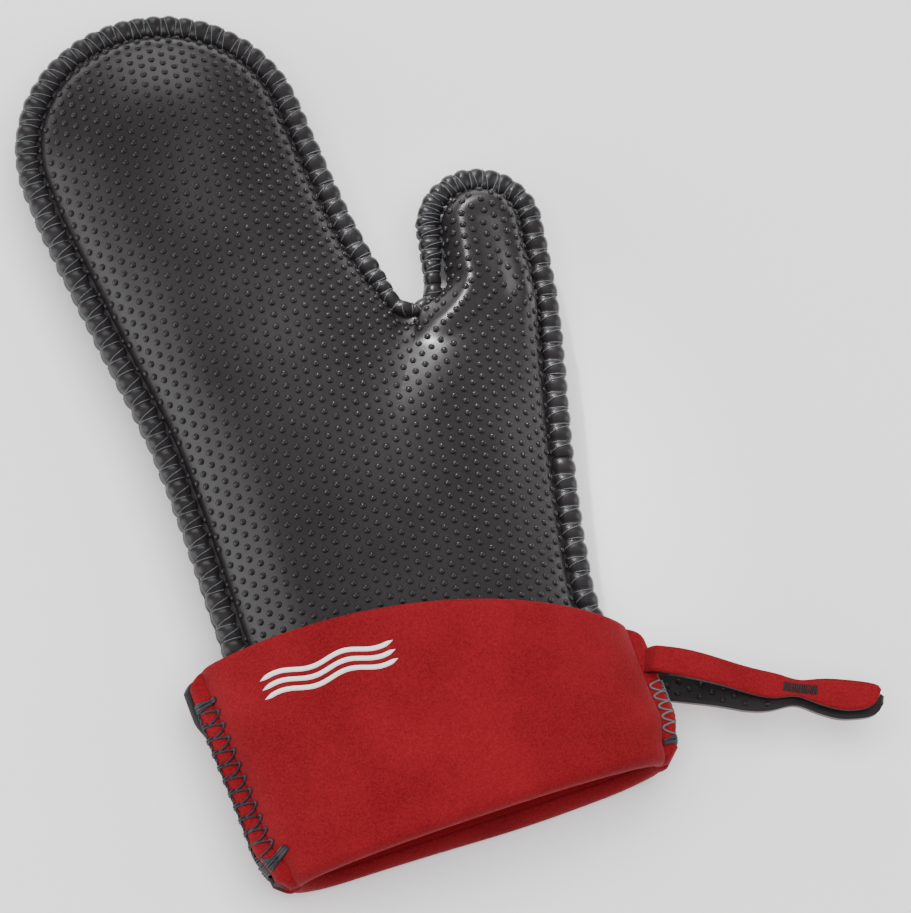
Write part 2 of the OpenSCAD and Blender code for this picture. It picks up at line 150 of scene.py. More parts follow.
# %% The outline
outer_end = thumb_mid + thumb_r * np.array([math.cos(math.radians(-8)), math.sin(math.radians(-8))])
left_keys = [(0, -wrist_left), (87, -wrist_left), (mix(87, tip[1], 0.4), -wrist_left),
             (mix(87, tip[1], 0.66), mix(-wrist_left, tip[0] - half_w, 0.48)),
             (mix(87, tip[1], 0.9), tip[0] - half_w + 1), (tip[1], tip[0] - half_w)]
right_keys = [(crotch[1], crotch[0] - crotch_r), (mix(crotch[1], tip[1], 0.4), tip[0] + half_w + 3.6),
              (tip[1], tip[0] + half_w)]
outer_keys = [(0, wrist_right + 1), (61, wrist_right - 3.5), (87, wrist_right), (123, wrist_right + 8.3),
              (mix(123, outer_end[1], 0.6), mix(wrist_right + 8.3, outer_end[0], 0.7)),
              (outer_end[1], outer_end[0])]


def flared(y):
    return 10 * np.clip(1 - (y - fold_r) / 14, 0, 1) ** 2


def x_left(y):
    return curve(left_keys, y) - flared(y)


def x_outer(y):
    return curve(outer_keys, y) + flared(y) * 0.3


def on_circle(middle, r, degrees):
    a = np.radians(degrees)
    return np.stack([middle[0] + r[0] * np.cos(a), middle[1] + r[1] * np.sin(a)], 1)

# %% [markdown]
# ## Where it bends, and its middle lines
# The thumb bends on a line across its root. The middle line of the hand runs from the join with the
# thumb up to the fingertip, and below the join it is half way across the wrist.

# %% Bend and middle lines
inner_a = on_circle(crotch, (crotch_r, crotch_r), [-22])[0]
inner_b = on_circle(thumb_mid, (thumb_r, thumb_r), [158])[0]
bend_in = mix(inner_a, inner_b, 0.22)
bend_out = np.array([x_outer(crotch[1] - crotch_r - 24)[0], crotch[1] - crotch_r - 24])
bend_mid = mix(bend_in, bend_out, 0.5)


def lerp_points(a, b, v):
    return np.outer(1 - v, a) + np.outer(v, b)


def hand_middle(y):
    """The hand's middle line: straight from the join to the bend, then to the fingertip."""
    lower = mix(join[0], tip[0] + 2, np.clip((y - join[1]) / (bend_y - join[1]), 0, 1))
    upper = mix(tip[0] + 2, tip[0], np.clip((y - bend_y) / (tip[1] - bend_y), 0, 1))
    return np.stack([np.where(y < bend_y, lower, upper), y], 1)


def stretch(n):
    return np.arange(n) / n


def wrist_middle(y):
    """Half way across the wrist, led over to the join at its top."""
    x = (x_left(y) + x_outer(y)) / 2
    off = join[0] - ((x_left(join[1]) + x_outer(join[1])) / 2)[0]
    return np.stack([x + off * ease((y - 50) / (join[1] - 50)), y], 1)

# %% [markdown]
# ## Round the mitt
# The outline is walked once, from the mouth up the little-finger side and back down the thumb's side.
# Each stretch adds its outline points, their partners and the height of the dome over the seam.

# %% Stations round the mitt
# both sides of a middle line share its points, so the halves of the dome meet without a gap
N_LOW, N_PALM, N_FING, N_TIP, N_CROTCH, N_WEB, N_THUMB, N_TOP = 44, 36, 22, 60, 12, 18, 14, 32
runs = []                                              # (outline, middle line, height) of each stretch


def add_run(outline, middle_line, height):
    runs.append((outline, middle_line, np.broadcast_to(height, (len(outline),))))


def side_run(keys_x, y, y_edge=None):
    """A stretch whose outline is at y_edge, or level with its partners on the hand's middle line."""
    y_edge = y if y_edge is None else y_edge
    height = palm_rise - 4 * ease((y - bend_y) / (tip[1] - bend_y))
    add_run(np.stack([keys_x(y_edge), y_edge], 1), hand_middle(y), height)


def round_run(middle, r, degrees, partner, height):
    """A stretch on an arc, with one partner for all of it."""
    add_run(on_circle(middle, r, degrees), np.tile(partner, (len(degrees), 1)), height)


def right_x(y):
    return curve(right_keys, y)


y = mix(fold_r, join[1], stretch(N_LOW))
add_run(np.stack([x_left(y), y], 1), wrist_middle(y), palm_rise)
side_run(x_left, mix(join[1], bend_y, stretch(N_PALM)))
side_run(x_left, mix(bend_y, tip[1], stretch(N_FING)))
round_run(tip, (half_w, tip_rise), 180 - 180 * stretch(N_TIP), tip, palm_rise - 4)
side_run(right_x, mix(tip[1], bend_y, stretch(N_FING)))
v = stretch(N_PALM)
side_run(right_x, mix(bend_y, join[1], v), mix(bend_y, crotch[1], v))
round_run(crotch, (crotch_r, crotch_r), 180 + 158 * stretch(N_CROTCH), join, palm_rise)
s_web = sum(len(r[0]) for r in runs)
v = stretch(N_WEB)
add_run(lerp_points(inner_a, bend_in, v), lerp_points(join, bend_mid, v), palm_rise - 4 * ease(v))
v = stretch(N_THUMB)
add_run(lerp_points(bend_in, inner_b, v), lerp_points(bend_mid, thumb_mid, v), palm_rise - 4 - 4 * v)
round_run(thumb_mid, (thumb_r, thumb_r), mix(158, -8, stretch(N_TOP)), thumb_mid, palm_rise - 8)
v = stretch(N_THUMB)
y = mix(outer_end[1], bend_out[1], v)
add_run(np.stack([x_outer(y), y], 1), lerp_points(thumb_mid, bend_mid, v), palm_rise - 8 + 4 * v)
v = stretch(N_WEB)
y = mix(bend_out[1], join[1], v)
add_run(np.stack([x_outer(y), y], 1), lerp_points(bend_mid, join, v), palm_rise - 4 * ease(1 - v))
s_low = sum(len(r[0]) for r in runs)
y = mix(join[1], fold_r, np.arange(N_LOW + 1) / N_LOW)
add_run(np.stack([x_outer(y), y], 1), wrist_middle(y), palm_rise)
edge = np.concatenate([r[0] for r in runs])
middle = np.concatenate([r[1] for r in runs])
rise = np.concatenate([r[2] for r in runs])
n_stations = len(edge)
inward = middle - edge
inward /= np.linalg.norm(inward, axis=1)[:, None]
print(n_stations, "stations round", round(np.linalg.norm(np.diff(edge, axis=0), axis=1).sum()), "mm of edge")


# %% [markdown]
# ## The surface of a sheet
# depth is 0 on the pipped face and sheet_t on the knit face. side is 1 on the palm and -1 on the back.
# The dome is a rounded curve, low at the seam and flat at the middle line. On the back it is cut off
# by the table, and near the cuff it rides up on the folded flap under it.

# %% Surface functions
cuff_tall, cuff_low = 84.5, 48.0
fin_w = 6.0


def crown(s):
    """The dome's height at s, from 1 on the middle line to 0 at its foot."""
    return np.clip(1 - np.abs(s) ** 2.2, 0, 1) ** 0.55


def lift(y):
    """How far the flap folded under the back lifts it off the table."""
    return (sheet_t + gap) * ease((cuff_tall + 24 - y) / 18)


def flange(y):
    """The width of the flat edge: narrow in the cuff, as wide as the rolled seam above it."""
    return mix(fin_w, bead_w, ease((y - fold_r) / 20))


def columns(n):
    """How far out each column lies: 1 at the foot of the dome, 0 on the middle line."""
    return np.cos(np.radians(90) * np.arange(n) / (n - 1))


def soft_floor(z, floor):
    """z kept above the floor, with a rounded meeting."""
    r = 2.0
    d = np.clip((z - floor) / r, -1, 1)
    return np.where(z - floor > r, z, floor + r * (d + 1) ** 2 / 4)


def dents(x, y, side):
    """The slow hollows and swellings of soft foam, in millimetres."""
    slow = np.sin(x / 19 + y / 47 + side) + 0.8 * np.sin(y / 23 - x / 41 + 2 * side)
    return 0.55 * (slow + 0.5 * np.sin(x / 9 - y / 14))


def quads(i0, i1, j0, j1, width, flip):
    """Four-cornered faces of a grid, between two rows and two columns."""
    i, j = np.meshgrid(np.arange(i0, i1), np.arange(j0, j1), indexing="ij")
    a = (i * width + j).ravel()
    q = np.stack([a, a + width, a + width + 1, a + 1], 1)
    return q[:, ::-1] if flip else q


def surface_tree(grid):
    rows, cols = grid.shape[:2]
    faces = quads(0, rows - 1, 0, cols - 1, cols, False)
    return BVHTree.FromPolygons(grid.reshape(-1, 3).tolist(), faces.tolist())


def drop(tree, x, y, side):
    """Where a vertical line through x, y meets the surface, from above or from below."""
    hit, normal, _, _ = tree.ray_cast(Vector((x, y, 80.0 * side)), Vector((0, 0, -side)))
    if hit is None:
        return None, None
    if normal.z * side < 0:
        normal = -normal
    return hit, normal

# %% [markdown]
# ## The dome let out like foam
# A dome drawn only between seam and middle line has a sharp valley where hand and thumb meet, and
# stiff foam never does that. A cloth simulation would smooth it but also shrink the whole mitt. So
# the height is put on a 1 mm map and each free place moves towards the mean of its neighbours, again
# and again, while the seams and the wrist are held. The crotch, where the foam is drawn tightest,
# gets more turns.

# %% The relaxed dome
map_x = np.arange(-62.0, 128.0, 1.0)
map_y = np.arange(0.0, mitt_len + 1, 1.0)


def neighbours(height):
    """The mean of the four neighbours of each place on a map."""
    return sum(np.roll(height, shift, axis) for axis in (0, 1) for shift in (1, -1)) / 4


def relax_dome(n_across, all_turns=170, crotch_turns=450):
    """The dome's height on a 1 mm map, and how free each place of it is to move."""
    s = columns(n_across)
    foot = edge + inward * (bead_w + 0.4)
    xy = middle[:, None] + (foot - middle)[:, None] * s[None, :, None]
    z = 2.1 + (rise - 2.1)[:, None] * crown(s)[None]
    tree = surface_tree(np.concatenate([xy, z[..., None]], 2))
    height = np.array([[getattr(drop(tree, xx, yy, 1)[0], "z", 2.1) for xx in map_x] for yy in map_y])
    gx, gy = np.meshgrid(map_x, map_y)
    near = np.full(gx.shape, 1e9)
    for point in edge[::2]:
        near = np.minimum(near, np.hypot(gx - point[0], gy - point[1]))
    free = ease((near - bead_w - 1) / 13) * (height > 2.2) * ease((gy - 62) / 30)
    by_crotch = ease(1.4 - np.hypot(gx - crotch[0] - 8, gy - crotch[1] + 14) / 34)
    for step in range(all_turns + crotch_turns):
        pull = 0.9 * free * (1 if step < all_turns else by_crotch)
        height = height + pull * (neighbours(height) - height)
    return height, free


def read_map(grid, x, y):
    """The value of a 1 mm map at x, y, between its four nearest places."""
    i = np.clip((y - map_y[0]), 0, len(map_y) - 1.001)
    j = np.clip((x - map_x[0]), 0, len(map_x) - 1.001)
    i0, j0 = i.astype(int), j.astype(int)
    fi, fj = i - i0, j - j0
    top = grid[i0, j0] * (1 - fj) + grid[i0, j0 + 1] * fj
    low_row = grid[i0 + 1, j0] * (1 - fj) + grid[i0 + 1, j0 + 1] * fj
    return top * (1 - fi) + low_row * fi


dome_map, free_map = relax_dome(40)
print("dome", round(float(dome_map.max()), 1), "mm high over the seam")

# %% [markdown]
# ## One sheet at one depth
# The same function gives the pipped face, the line where rubber and knit are bonded, and the knit
# face, so the layers can't cross. The edge dips and is tucked into the rolled seam.

# %% A sheet's surface
def sheet_surface(depth, side, n_across, tuck):
    """A grid of the sheet at a depth; its edge is tucked this far into the rolled seam."""
    s = columns(n_across)
    held = ease((edge[:, 1] - 12) / 20)                # the seam is flat where the cuff covers it
    foot = edge + inward * (flange(edge[:, 1]) + 0.4 * held + depth)[:, None]
    xy = middle[:, None] + (foot - middle)[:, None] * s[None, :, None]
    sunk = np.maximum(sheet_t - depth - 2.0 * held, 0.12 * (sheet_t - depth) + 0.05)
    shape = crown(s)[None]
    z = sunk[:, None] + (rise - depth - sunk)[:, None] * shape
    z = mix(z, read_map(dome_map, xy[..., 0], xy[..., 1]) - depth, read_map(free_map, xy[..., 0], xy[..., 1]))
    z = z + dents(xy[..., 0], xy[..., 1], side) * shape ** 2 * ease((xy[..., 1] - 60) / 40)
    rim = edge + inward * (tuck * held)[:, None]
    xy = np.concatenate([rim[:, None], xy], 1)
    z = np.concatenate([sunk[:, None] * mix(1, 0.6, held)[:, None], z], 1)
    if side > 0:
        z = seam_z + z
    else:
        z = soft_floor(seam_z - z, lift(xy[..., 1]) + depth)
    return np.concatenate([xy, z[..., None]], 2)


# %% [markdown]
# ## From points to a mesh
# A sheet is a closed shell: an outer face, an inner face and a rim. The two halves of a dome meet on
# the middle line, so points that fall together are merged into one.

# %% Mesh helpers
def shell_faces(i0, i1, rows, cols, flip, close=True):
    """Faces of an outer and an inner grid of rows x cols, for rows i0 to i1, with their rim."""
    n = rows * cols
    faces = [quads(i0, i1, 0, cols - 1, cols, flip), quads(i0, i1, 0, cols - 1, cols, not flip) + n]
    i = np.arange(i0, i1) * cols
    rim = np.stack([i, i + cols, i + cols + n, i + n], 1)
    faces.append(rim if flip else rim[:, ::-1])
    if close:
        rim = rim + cols - 1
        faces.append(rim[:, ::-1] if flip else rim)
    j = np.arange(cols - 1)
    for row, turn in ((i0, not flip), (i1, flip)):
        r = np.stack([j, j + 1, j + 1 + n, j + n], 1) + row * cols
        faces.append(r if turn else r[:, ::-1])
    return np.concatenate(faces)


def make_mesh(name, points, faces, normals=None):
    """A smooth mesh object from millimetre points; points that fall together become one."""
    p = place(points)
    used = np.unique(np.concatenate([np.asarray(f).ravel() for f in faces]))
    key = np.round(p[used] / 2e-6).astype(np.int64)
    _, first, back = np.unique(key, axis=0, return_index=True, return_inverse=True)
    back = back.ravel()
    number = np.full(len(p), -1)
    number[used] = back
    out = []
    for group in faces:
        for f in number[np.asarray(group)]:
            g = [a for k, a in enumerate(f) if a != f[k - 1]]
            if len(g) > 2:
                out.append(g)
    me = bpy.data.meshes.new(name)
    me.from_pydata(p[used][first].tolist(), [], out)
    bm = bmesh.new()
    bm.from_mesh(me)
    bmesh.ops.recalc_face_normals(bm, faces=bm.faces)
    bm.to_mesh(me)
    bm.free()
    me.shade_smooth()
    if normals is not None:
        me.normals_split_custom_set_from_vertices(np.asarray(normals)[used][first].tolist())
    o = bpy.data.objects.new(name, me)
    bpy.context.scene.collection.objects.link(o)
    return o

# %% [markdown]
# ## Normals and threads
# The two pieces of a sheet are lit as one, so their normals come from the whole grid. A thread is a
# closed tube with few sides, because there are hundreds of them and each is under a millimetre thick.

# %% Helpers for normals and threads
def grid_normals(g):
    """Unit normals of a grid of points, from the way its rows and columns run."""
    n = np.cross(np.gradient(g, axis=1), np.gradient(g, axis=0))
    return n / np.maximum(np.linalg.norm(n, axis=2), 1e-9)[..., None]


def facing(normals, side):
    """The normals turned up on the palm's side, down on the back's."""
    return normals * np.sign(normals[..., 2:] * side + 1e-9)


def two_layers(outer, inner):
    """The points of two grids in one list, numbered as shell_faces does."""
    return np.concatenate([outer.reshape(-1, 3), inner.reshape(-1, 3)])


def tube(path, radius, sides):
    """Points and faces of a closed round thread along a path."""
    p = np.asarray(path, float)
    t = np.gradient(p, axis=0)
    t /= np.linalg.norm(t, axis=1)[:, None] + 1e-12
    a = np.cross(t, [0.3, 0.2, 1.0])
    a /= np.linalg.norm(a, axis=1)[:, None] + 1e-12
    b = np.cross(t, a)
    r = np.broadcast_to(np.asarray(radius, float), (len(p),))
    f = 2 * np.pi * np.arange(sides) / sides
    spokes = a[:, None] * np.cos(f)[None, :, None] + b[:, None] * np.sin(f)[None, :, None]
    pts = (p[:, None] + r[:, None, None] * spokes).reshape(-1, 3)
    faces = []
    for i in range(len(p) - 1):
        for k in range(sides):
            m = (k + 1) % sides
            faces.append([i * sides + k, i * sides + m, (i + 1) * sides + m, (i + 1) * sides + k])
    faces.append(list(range(sides))[::-1])
    faces.append([(len(p) - 1) * sides + k for k in range(sides)])
    return pts, faces


def gather(parts):
    """Several (points, faces) joined into one list of each."""
    pts, faces, n = [], [], 0
    for p, f in parts:
        pts.append(p)
        faces += [[a + n for a in g] for g in f]
        n += len(p)
    return np.concatenate(pts), faces


def joined(name, parts, material):
    """One object of several (points, faces), in one material."""
    points, faces = gather(parts)
    return dress(make_mesh(name, points, [np.array([f]) for f in faces]), material)


def dress(o, material):
    o.data.materials.clear()
    o.data.materials.append(material)
    return o


# %% [markdown]
# ## The finishes
# Four effects are shared, so each is a node group that puts out only a mask or a height: the skin of
# the rubber, the grain of the knit, the twist of the thread and a slow change from place to place.
# All are noises in the object's own space, so they go round every fold without any unwrapping.

# %% Node groups
def add_node(tree, kind, **values):
    """A shader node with its inputs set; spaces in their labels are written as underscores."""
    made = tree.nodes.new("ShaderNode" + kind)
    for label, value in values.items():
        made.inputs[label.replace("_", " ")].default_value = value
    return made


def noise_group(name, scale, detail, roughness=0.6, stretch_by=(1, 1, 1)):
    """A noise on Object coordinates: its height, and a mask that spreads it over 0 to 1."""
    g = bpy.data.node_groups.new(name, "ShaderNodeTree")
    dial = g.interface.new_socket("Scale", in_out="INPUT", socket_type="NodeSocketFloat")
    dial.default_value = scale
    for label in ("Height", "Mask"):
        g.interface.new_socket(label, in_out="OUTPUT", socket_type="NodeSocketFloat")
    given, result = g.nodes.new("NodeGroupInput"), g.nodes.new("NodeGroupOutput")
    where = add_node(g, "TexCoord")
    stretched = add_node(g, "Mapping", Scale=stretch_by)
    noise = add_node(g, "TexNoise", Detail=detail, Roughness=roughness)
    spread = add_node(g, "MapRange", From_Min=0.35, From_Max=0.65)
    link = g.links.new
    link(where.outputs["Object"], stretched.inputs["Vector"])
    link(stretched.outputs["Vector"], noise.inputs["Vector"])
    link(given.outputs["Scale"], noise.inputs["Scale"])
    link(noise.outputs["Fac"], result.inputs["Height"])
    link(noise.outputs["Fac"], spread.inputs["Value"])
    link(spread.outputs["Result"], result.inputs["Mask"])
    return g


skin = noise_group("rubber_skin", 1800.0, 2.0)
grain = noise_group("knit_grain", 1500.0, 4.0, 0.75)
cloudy = noise_group("slow_change", 22.0, 3.0)
fibre = noise_group("thread_fibre", 2600.0, 2.0, 0.5, (1, 1, 2.2))


print("node groups:", [g.name for g in (skin, grain, cloudy, fibre)])

# %% [markdown]
# ## One recipe, eight finishes
# Rubber, foam, knit, thread and ink differ in numbers, not in kind. Each is a Principled material whose
# colour goes from a dark to a light tone, mostly by its fine pattern and a little by the slow change,
# with a bump of that pattern. Rubber is darker and shinier than it seems, because its gloss adds
# light of its own. Knit has a sheen, the pale edge that fine fibres give a cloth.

# %% The recipe
def finish(name, dark, light, rough, bump, distance, pattern, scale, specular=0.5, sheen=None,
           rough_change=0.0):
    """A material: colour between dark and light by a fine pattern and a slow change, and a fine bump."""
    m = bpy.data.materials.new(name)
    m.use_nodes = True
    nt = m.node_tree
    p = nt.nodes["Principled BSDF"]
    p.inputs["Roughness"].default_value = rough
    p.inputs["Specular IOR Level"].default_value = specular
    if sheen:
        p.inputs["Sheen Weight"].default_value = sheen[0]
        p.inputs["Sheen Roughness"].default_value = 0.45
        p.inputs["Sheen Tint"].default_value = (*sheen[1], 1)
    fine = nt.nodes.new("ShaderNodeGroup")
    fine.node_tree = pattern
    fine.inputs["Scale"].default_value = scale
    slow = nt.nodes.new("ShaderNodeGroup")
    slow.node_tree = cloudy
    slow_share = nt.nodes.new("ShaderNodeMath")
    slow_share.operation = "MULTIPLY"
    slow_share.inputs[1].default_value = 0.35
    both = nt.nodes.new("ShaderNodeMath")
    both.operation = "MULTIPLY_ADD"
    both.inputs[1].default_value = 0.65
    tone = nt.nodes.new("ShaderNodeMix")
    tone.data_type = "RGBA"
    tone.inputs["A"].default_value = (*dark, 1)
    tone.inputs["B"].default_value = (*light, 1)
    relief = add_node(nt, "Bump", Strength=bump, Distance=distance)
    link = nt.links.new
    link(slow.outputs["Mask"], slow_share.inputs[0])
    link(fine.outputs["Mask"], both.inputs[0])
    link(slow_share.outputs[0], both.inputs[2])
    link(both.outputs[0], tone.inputs["Factor"])
    link(tone.outputs["Result"], p.inputs["Base Color"])
    link(fine.outputs["Height"], relief.inputs["Height"])
    link(relief.outputs["Normal"], p.inputs["Normal"])
    if rough_change:
        worn = add_node(nt, "MapRange", To_Min=rough - rough_change, To_Max=rough + rough_change)
        link(slow.outputs["Mask"], worn.inputs["Value"])
        link(worn.outputs["Result"], p.inputs["Roughness"])
    return m


# %% The finishes
rubber = finish("pipped_rubber", (0.010, 0.0085, 0.0092), (0.017, 0.0145, 0.016), 0.36, 0.22, 0.00012,
                skin, 1800.0, rough_change=0.05)
foam = finish("foam_edge", (0.010, 0.010, 0.011), (0.022, 0.021, 0.023), 0.8, 0.6, 0.0003, skin, 1500.0)
knit = finish("red_knit", (0.105, 0.0028, 0.0048), (0.225, 0.0095, 0.0145), 0.85, 0.7, 0.0003,
              grain, 1250.0, specular=0.12, sheen=(0.14, (1.0, 0.25, 0.28)))
inside = finish("lining_knit", (0.13, 0.0035, 0.006), (0.22, 0.008, 0.012), 0.9, 0.5, 0.00022,
                grain, 1300.0, specular=0.12, sheen=(0.1, (1.0, 0.2, 0.2)))
thread = finish("grey_thread", (0.045, 0.05, 0.055), (0.13, 0.14, 0.15), 0.4, 0.5, 0.0001, fibre, 2600.0)
dark_thread = finish("dark_thread", (0.009, 0.009, 0.012), (0.030, 0.030, 0.038), 0.5, 0.5, 0.0001,
                     fibre, 2600.0)
black_thread = finish("black_thread", (0.006, 0.006, 0.006), (0.02, 0.018, 0.018), 0.6, 0.5, 0.0001,
                      fibre, 2600.0)
ink = finish("white_ink", (0.72, 0.71, 0.70), (0.86, 0.86, 0.85), 0.55, 0.35, 0.0001, grain, 1500.0)
print("materials:", [m.name for m in (rubber, foam, knit, inside, thread, dark_thread, black_thread, ink)])

# %% [markdown]
# ## Pips
# The grip comes from some 4000 pips, 2.6 mm across, moulded in a honeycomb 4.6 mm apart. One pip is
# modelled: a ball with few faces, its lower part cut off and closed, then flattened. It could
# be a bump in the material, but the real pips stand out against the light at the mitt's edge.

# %% One pip
pip_pitch, pip_r, pip_h = 4.6, 1.3, 1.15
bpy.ops.object.select_all(action="DESELECT")
bpy.ops.mesh.primitive_uv_sphere_add(segments=8, ring_count=6, radius=1.0, location=(0, 0, 0))
pip = bpy.context.object
bpy.ops.object.mode_set(mode="EDIT")
bpy.ops.mesh.select_all(action="SELECT")
bpy.ops.mesh.bisect(plane_co=(0, 0, 0.02), plane_no=(0, 0, 1), clear_inner=True, use_fill=True)
bpy.ops.object.mode_set(mode="OBJECT")
pip_co = np.array([v.co for v in pip.data.vertices]) * [pip_r, pip_r, pip_h] - [0, 0, 0.15]
pip_faces = [list(f.vertices) for f in pip.data.polygons]
bpy.data.objects.remove(pip)
print("one pip has", len(pip_faces), "faces")


# %% [markdown]
# ## Where the pips go
# The sheet was flat when its pips were moulded. So the honeycomb is laid out along the sheet's own
# surface: lengths are measured over the dome, out from the middle line and up from the mouth, and the
# pips crowd together where the dome slopes away. An even grid seen from above would look printed on.

# %% Honeycomb
def inside_of(points, ring):
    """True for each point inside a closed ring, by counting crossings."""
    x, y = points[:, 0][:, None], points[:, 1][:, None]
    ax, ay = ring.T
    bx, by = np.roll(ring, -1, axis=0).T
    crosses = (ay > y) != (by > y)
    at = (bx - ax) * (y - ay) / (by - ay + 1e-12) + ax
    return (crosses & (x < at)).sum(1) % 2 == 1


def pip_places(grid, side, y_from):
    """The honeycomb on the flat cloth, carried to the domed sheet along its own length."""
    tree = surface_tree(grid)
    xs = np.arange(-62.0, 128.0, 1.0)
    ys = np.arange(y_from, mitt_len, 1.0)
    height = np.full((len(ys), len(xs)), np.nan)
    for i, yy in enumerate(ys):
        for j, xx in enumerate(xs):
            hit, _ = drop(tree, xx, yy, side)
            if hit is not None:
                height[i, j] = hit.z
    slope = np.nan_to_num(np.gradient(height, axis=1))
    run = np.cumsum(np.sqrt(1 + np.clip(slope, -2, 2) ** 2), axis=1)
    mid_x = np.where(ys < join[1], wrist_middle(ys)[:, 0], hand_middle(ys)[:, 0])
    at_mid = np.array([np.interp(m, xs, r) for m, r in zip(mid_x, run)])
    across = run - at_mid[:, None] + mid_x[:, None]
    mid_h = np.array([np.interp(m, xs, np.nan_to_num(h)) for m, h in zip(mid_x, height)])
    up = ys[0] + np.cumsum(np.sqrt(1 + np.clip(np.gradient(mid_h), -2, 2) ** 2))
    lean = np.radians(20.0)                            # of the honeycomb's rows on the sheet
    row_way, next_way = (pip_pitch * np.array([math.cos(a), math.sin(a)]) for a in (lean, lean + math.pi / 3))
    k = np.arange(-95, 130)
    u, w = np.meshgrid(k, k)
    flat = np.outer(u.ravel(), row_way) + np.outer(w.ravel(), next_way)
    keep = (flat[:, 0] > -110) & (flat[:, 0] < 170) & (flat[:, 1] > up[0]) & (flat[:, 1] < up[-1])
    flat = flat[keep]
    yy = np.interp(flat[:, 1], up, ys)
    row = np.clip((yy - ys[0]).astype(int), 0, len(ys) - 2)
    part = yy - ys[0] - row
    xx = np.array([mix(np.interp(f, across[r], xs), np.interp(f, across[r + 1], xs), t)
                   for f, r, t in zip(flat[:, 0], row, part)])
    spots = np.stack([xx, yy], 1)
    room = inside_of(spots, edge + inward * (bead_w + 1.3))
    places = [(x0, y0, *drop(tree, x0, y0, side)) for x0, y0 in spots[room]]
    return [q for q in places if q[2] is not None] + fill_slopes(grid, side, places, y_from)


def fill_slopes(grid, side, places, y_from):
    """Pips for the steep rim of the dome, wherever a pitch's room is left over."""
    cell = pip_pitch * 0.9
    taken = {}

    def cells(point):
        return tuple(int(math.floor(c / cell)) for c in point)

    def has_room(point):
        i, j, k = cells(point)
        near = [q for a in (-1, 0, 1) for b in (-1, 0, 1) for c in (-1, 0, 1)
                for q in taken.get((i + a, j + b, k + c), ())]
        return all((q - point).length > cell for q in near)

    for _, _, hit, _ in places:
        if hit is not None:
            taken.setdefault(cells(hit), []).append(hit)
    extra = []
    out = facing(grid_normals(grid), side)
    for i in range(grid.shape[0]):
        for j in range(1, 12):
            point = Vector(grid[i, j])
            if point.y > y_from and has_room(point):
                taken.setdefault(cells(point), []).append(point)
                extra.append((point.x, point.y, point, Vector(out[i, j])))
    return extra


def pips_on(places, keep):
    """Points and faces of the pips whose place passes keep, each stood on the surface."""
    pts, faces = [], []
    n = 0
    for x0, y0, hit, normal in places:
        if hit is None or not keep(x0, y0):
            continue
        side_way = normal.cross(Vector((0.2, 1, 0))).normalized()
        up_way = normal.cross(side_way)
        turn = np.array([side_way, -up_way, normal]).T
        pts.append(pip_co @ turn.T + np.array(hit))
        faces += [[a + n for a in f] for f in pip_faces]
        n += len(pip_co)
    return (np.concatenate(pts) if pts else np.zeros((0, 3))), faces


# %% [markdown]
# ## The two sheets
# Each side of the mitt is one sheet. The real sheet bends at the fingers and at the thumb, and a mesh
# may bend across one hinge only, so the thumb is made as a piece of its own that meets the rest along
# the line from the crotch to the outer edge. Both take their normals from the whole sheet, so no line shows
# there.

# %% How the sheets are split
n_across = 22
names = {1: "palm", -1: "back"}


def to_fingers(o):
    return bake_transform(o)


def to_thumb(o):
    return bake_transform(o)


def in_thumb_piece(x0, y0):
    """True on the thumb's side of the line crotch - join - outer edge."""
    if y0 < join[1]:
        return False
    t = (y0 - join[1]) / (crotch[1] - join[1])
    return x0 > mix(join[0], crotch[0], t)


def in_hand_piece(x0, y0):
    return not in_thumb_piece(x0, y0)


# %% [markdown]
# ## Palm and back
# Three surfaces make two layers: pipped face, bond and knit face. The knit peeps out a little at the
# lower left, where the real edge is not rolled all the way. The pips are part of the rubber's mesh.

# %% Palm and back
hand_spans, thumb_spans = [(0, s_web), (s_low, n_stations - 1)], [(s_web, s_low)]
sheets = {}
for side, label in names.items():
    peep = np.where((np.arange(n_stations) < N_LOW) & (edge[:, 1] > 60), 0.35, 1.2)
    outer = sheet_surface(0.0, side, n_across, 2.6)
    bonded = sheet_surface(rubber_t, side, n_across, peep)
    inner = sheet_surface(sheet_t, side, n_across, peep)
    places = pip_places(outer[:, 1:], side, 30.0)
    shell = two_layers(outer, bonded)
    normal = facing(grid_normals(outer), side).reshape(-1, 3)
    for start, spans, keep in (("", hand_spans, in_hand_piece), ("thumb_", thumb_spans, in_thumb_piece)):
        faces = np.concatenate([shell_faces(a, b, n_stations, n_across + 1, side < 0, close=False)
                                for a, b in spans])
        pip_points, pip_sets = pips_on(places, keep)
        points = np.concatenate([shell, pip_points])
        normals = np.concatenate([normal, np.zeros((len(points) - len(normal), 3))])
        groups = [faces, *([np.array(g) + len(shell)] for g in pip_sets)]
        name = f"{start}{label}_sheet"
        sheet = dress(make_mesh(name, points, groups, normals), rubber)
        liner = dress(make_mesh(f"{start}{label}_knit", two_layers(bonded, inner), [faces]), inside)
        sheets[start + label] = (sheet, liner)
        print(name, len(sheet.data.polygons), "faces,", len(pip_sets) // len(pip_faces), "pips")

# %% What the sheets stand for
for n in names.values():
    sheet, liner = sheets[n]
    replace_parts(to_fingers(sheet), f"{n}_rubber", f"finger_{n}_rubber")
    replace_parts(to_fingers(liner), f"{n}_lining", f"finger_{n}_lining")
    t_sheet, t_liner = sheets["thumb_" + n]
    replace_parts(to_thumb(t_sheet), f"thumb_{n}_rubber")
    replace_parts(to_thumb(t_liner), f"thumb_{n}_lining")
print("bend with the fingers and the thumb:", ", ".join(sheets))

# %% [markdown]
# ## The overcast edge
# Thread goes over the edge every 6 mm and pulls the two sheets into a row of round lobes. The edge is
# swept round the outline as one tube whose radius swells between stitches, and each stitch is two
# fine threads over it, one straight and one slanted.

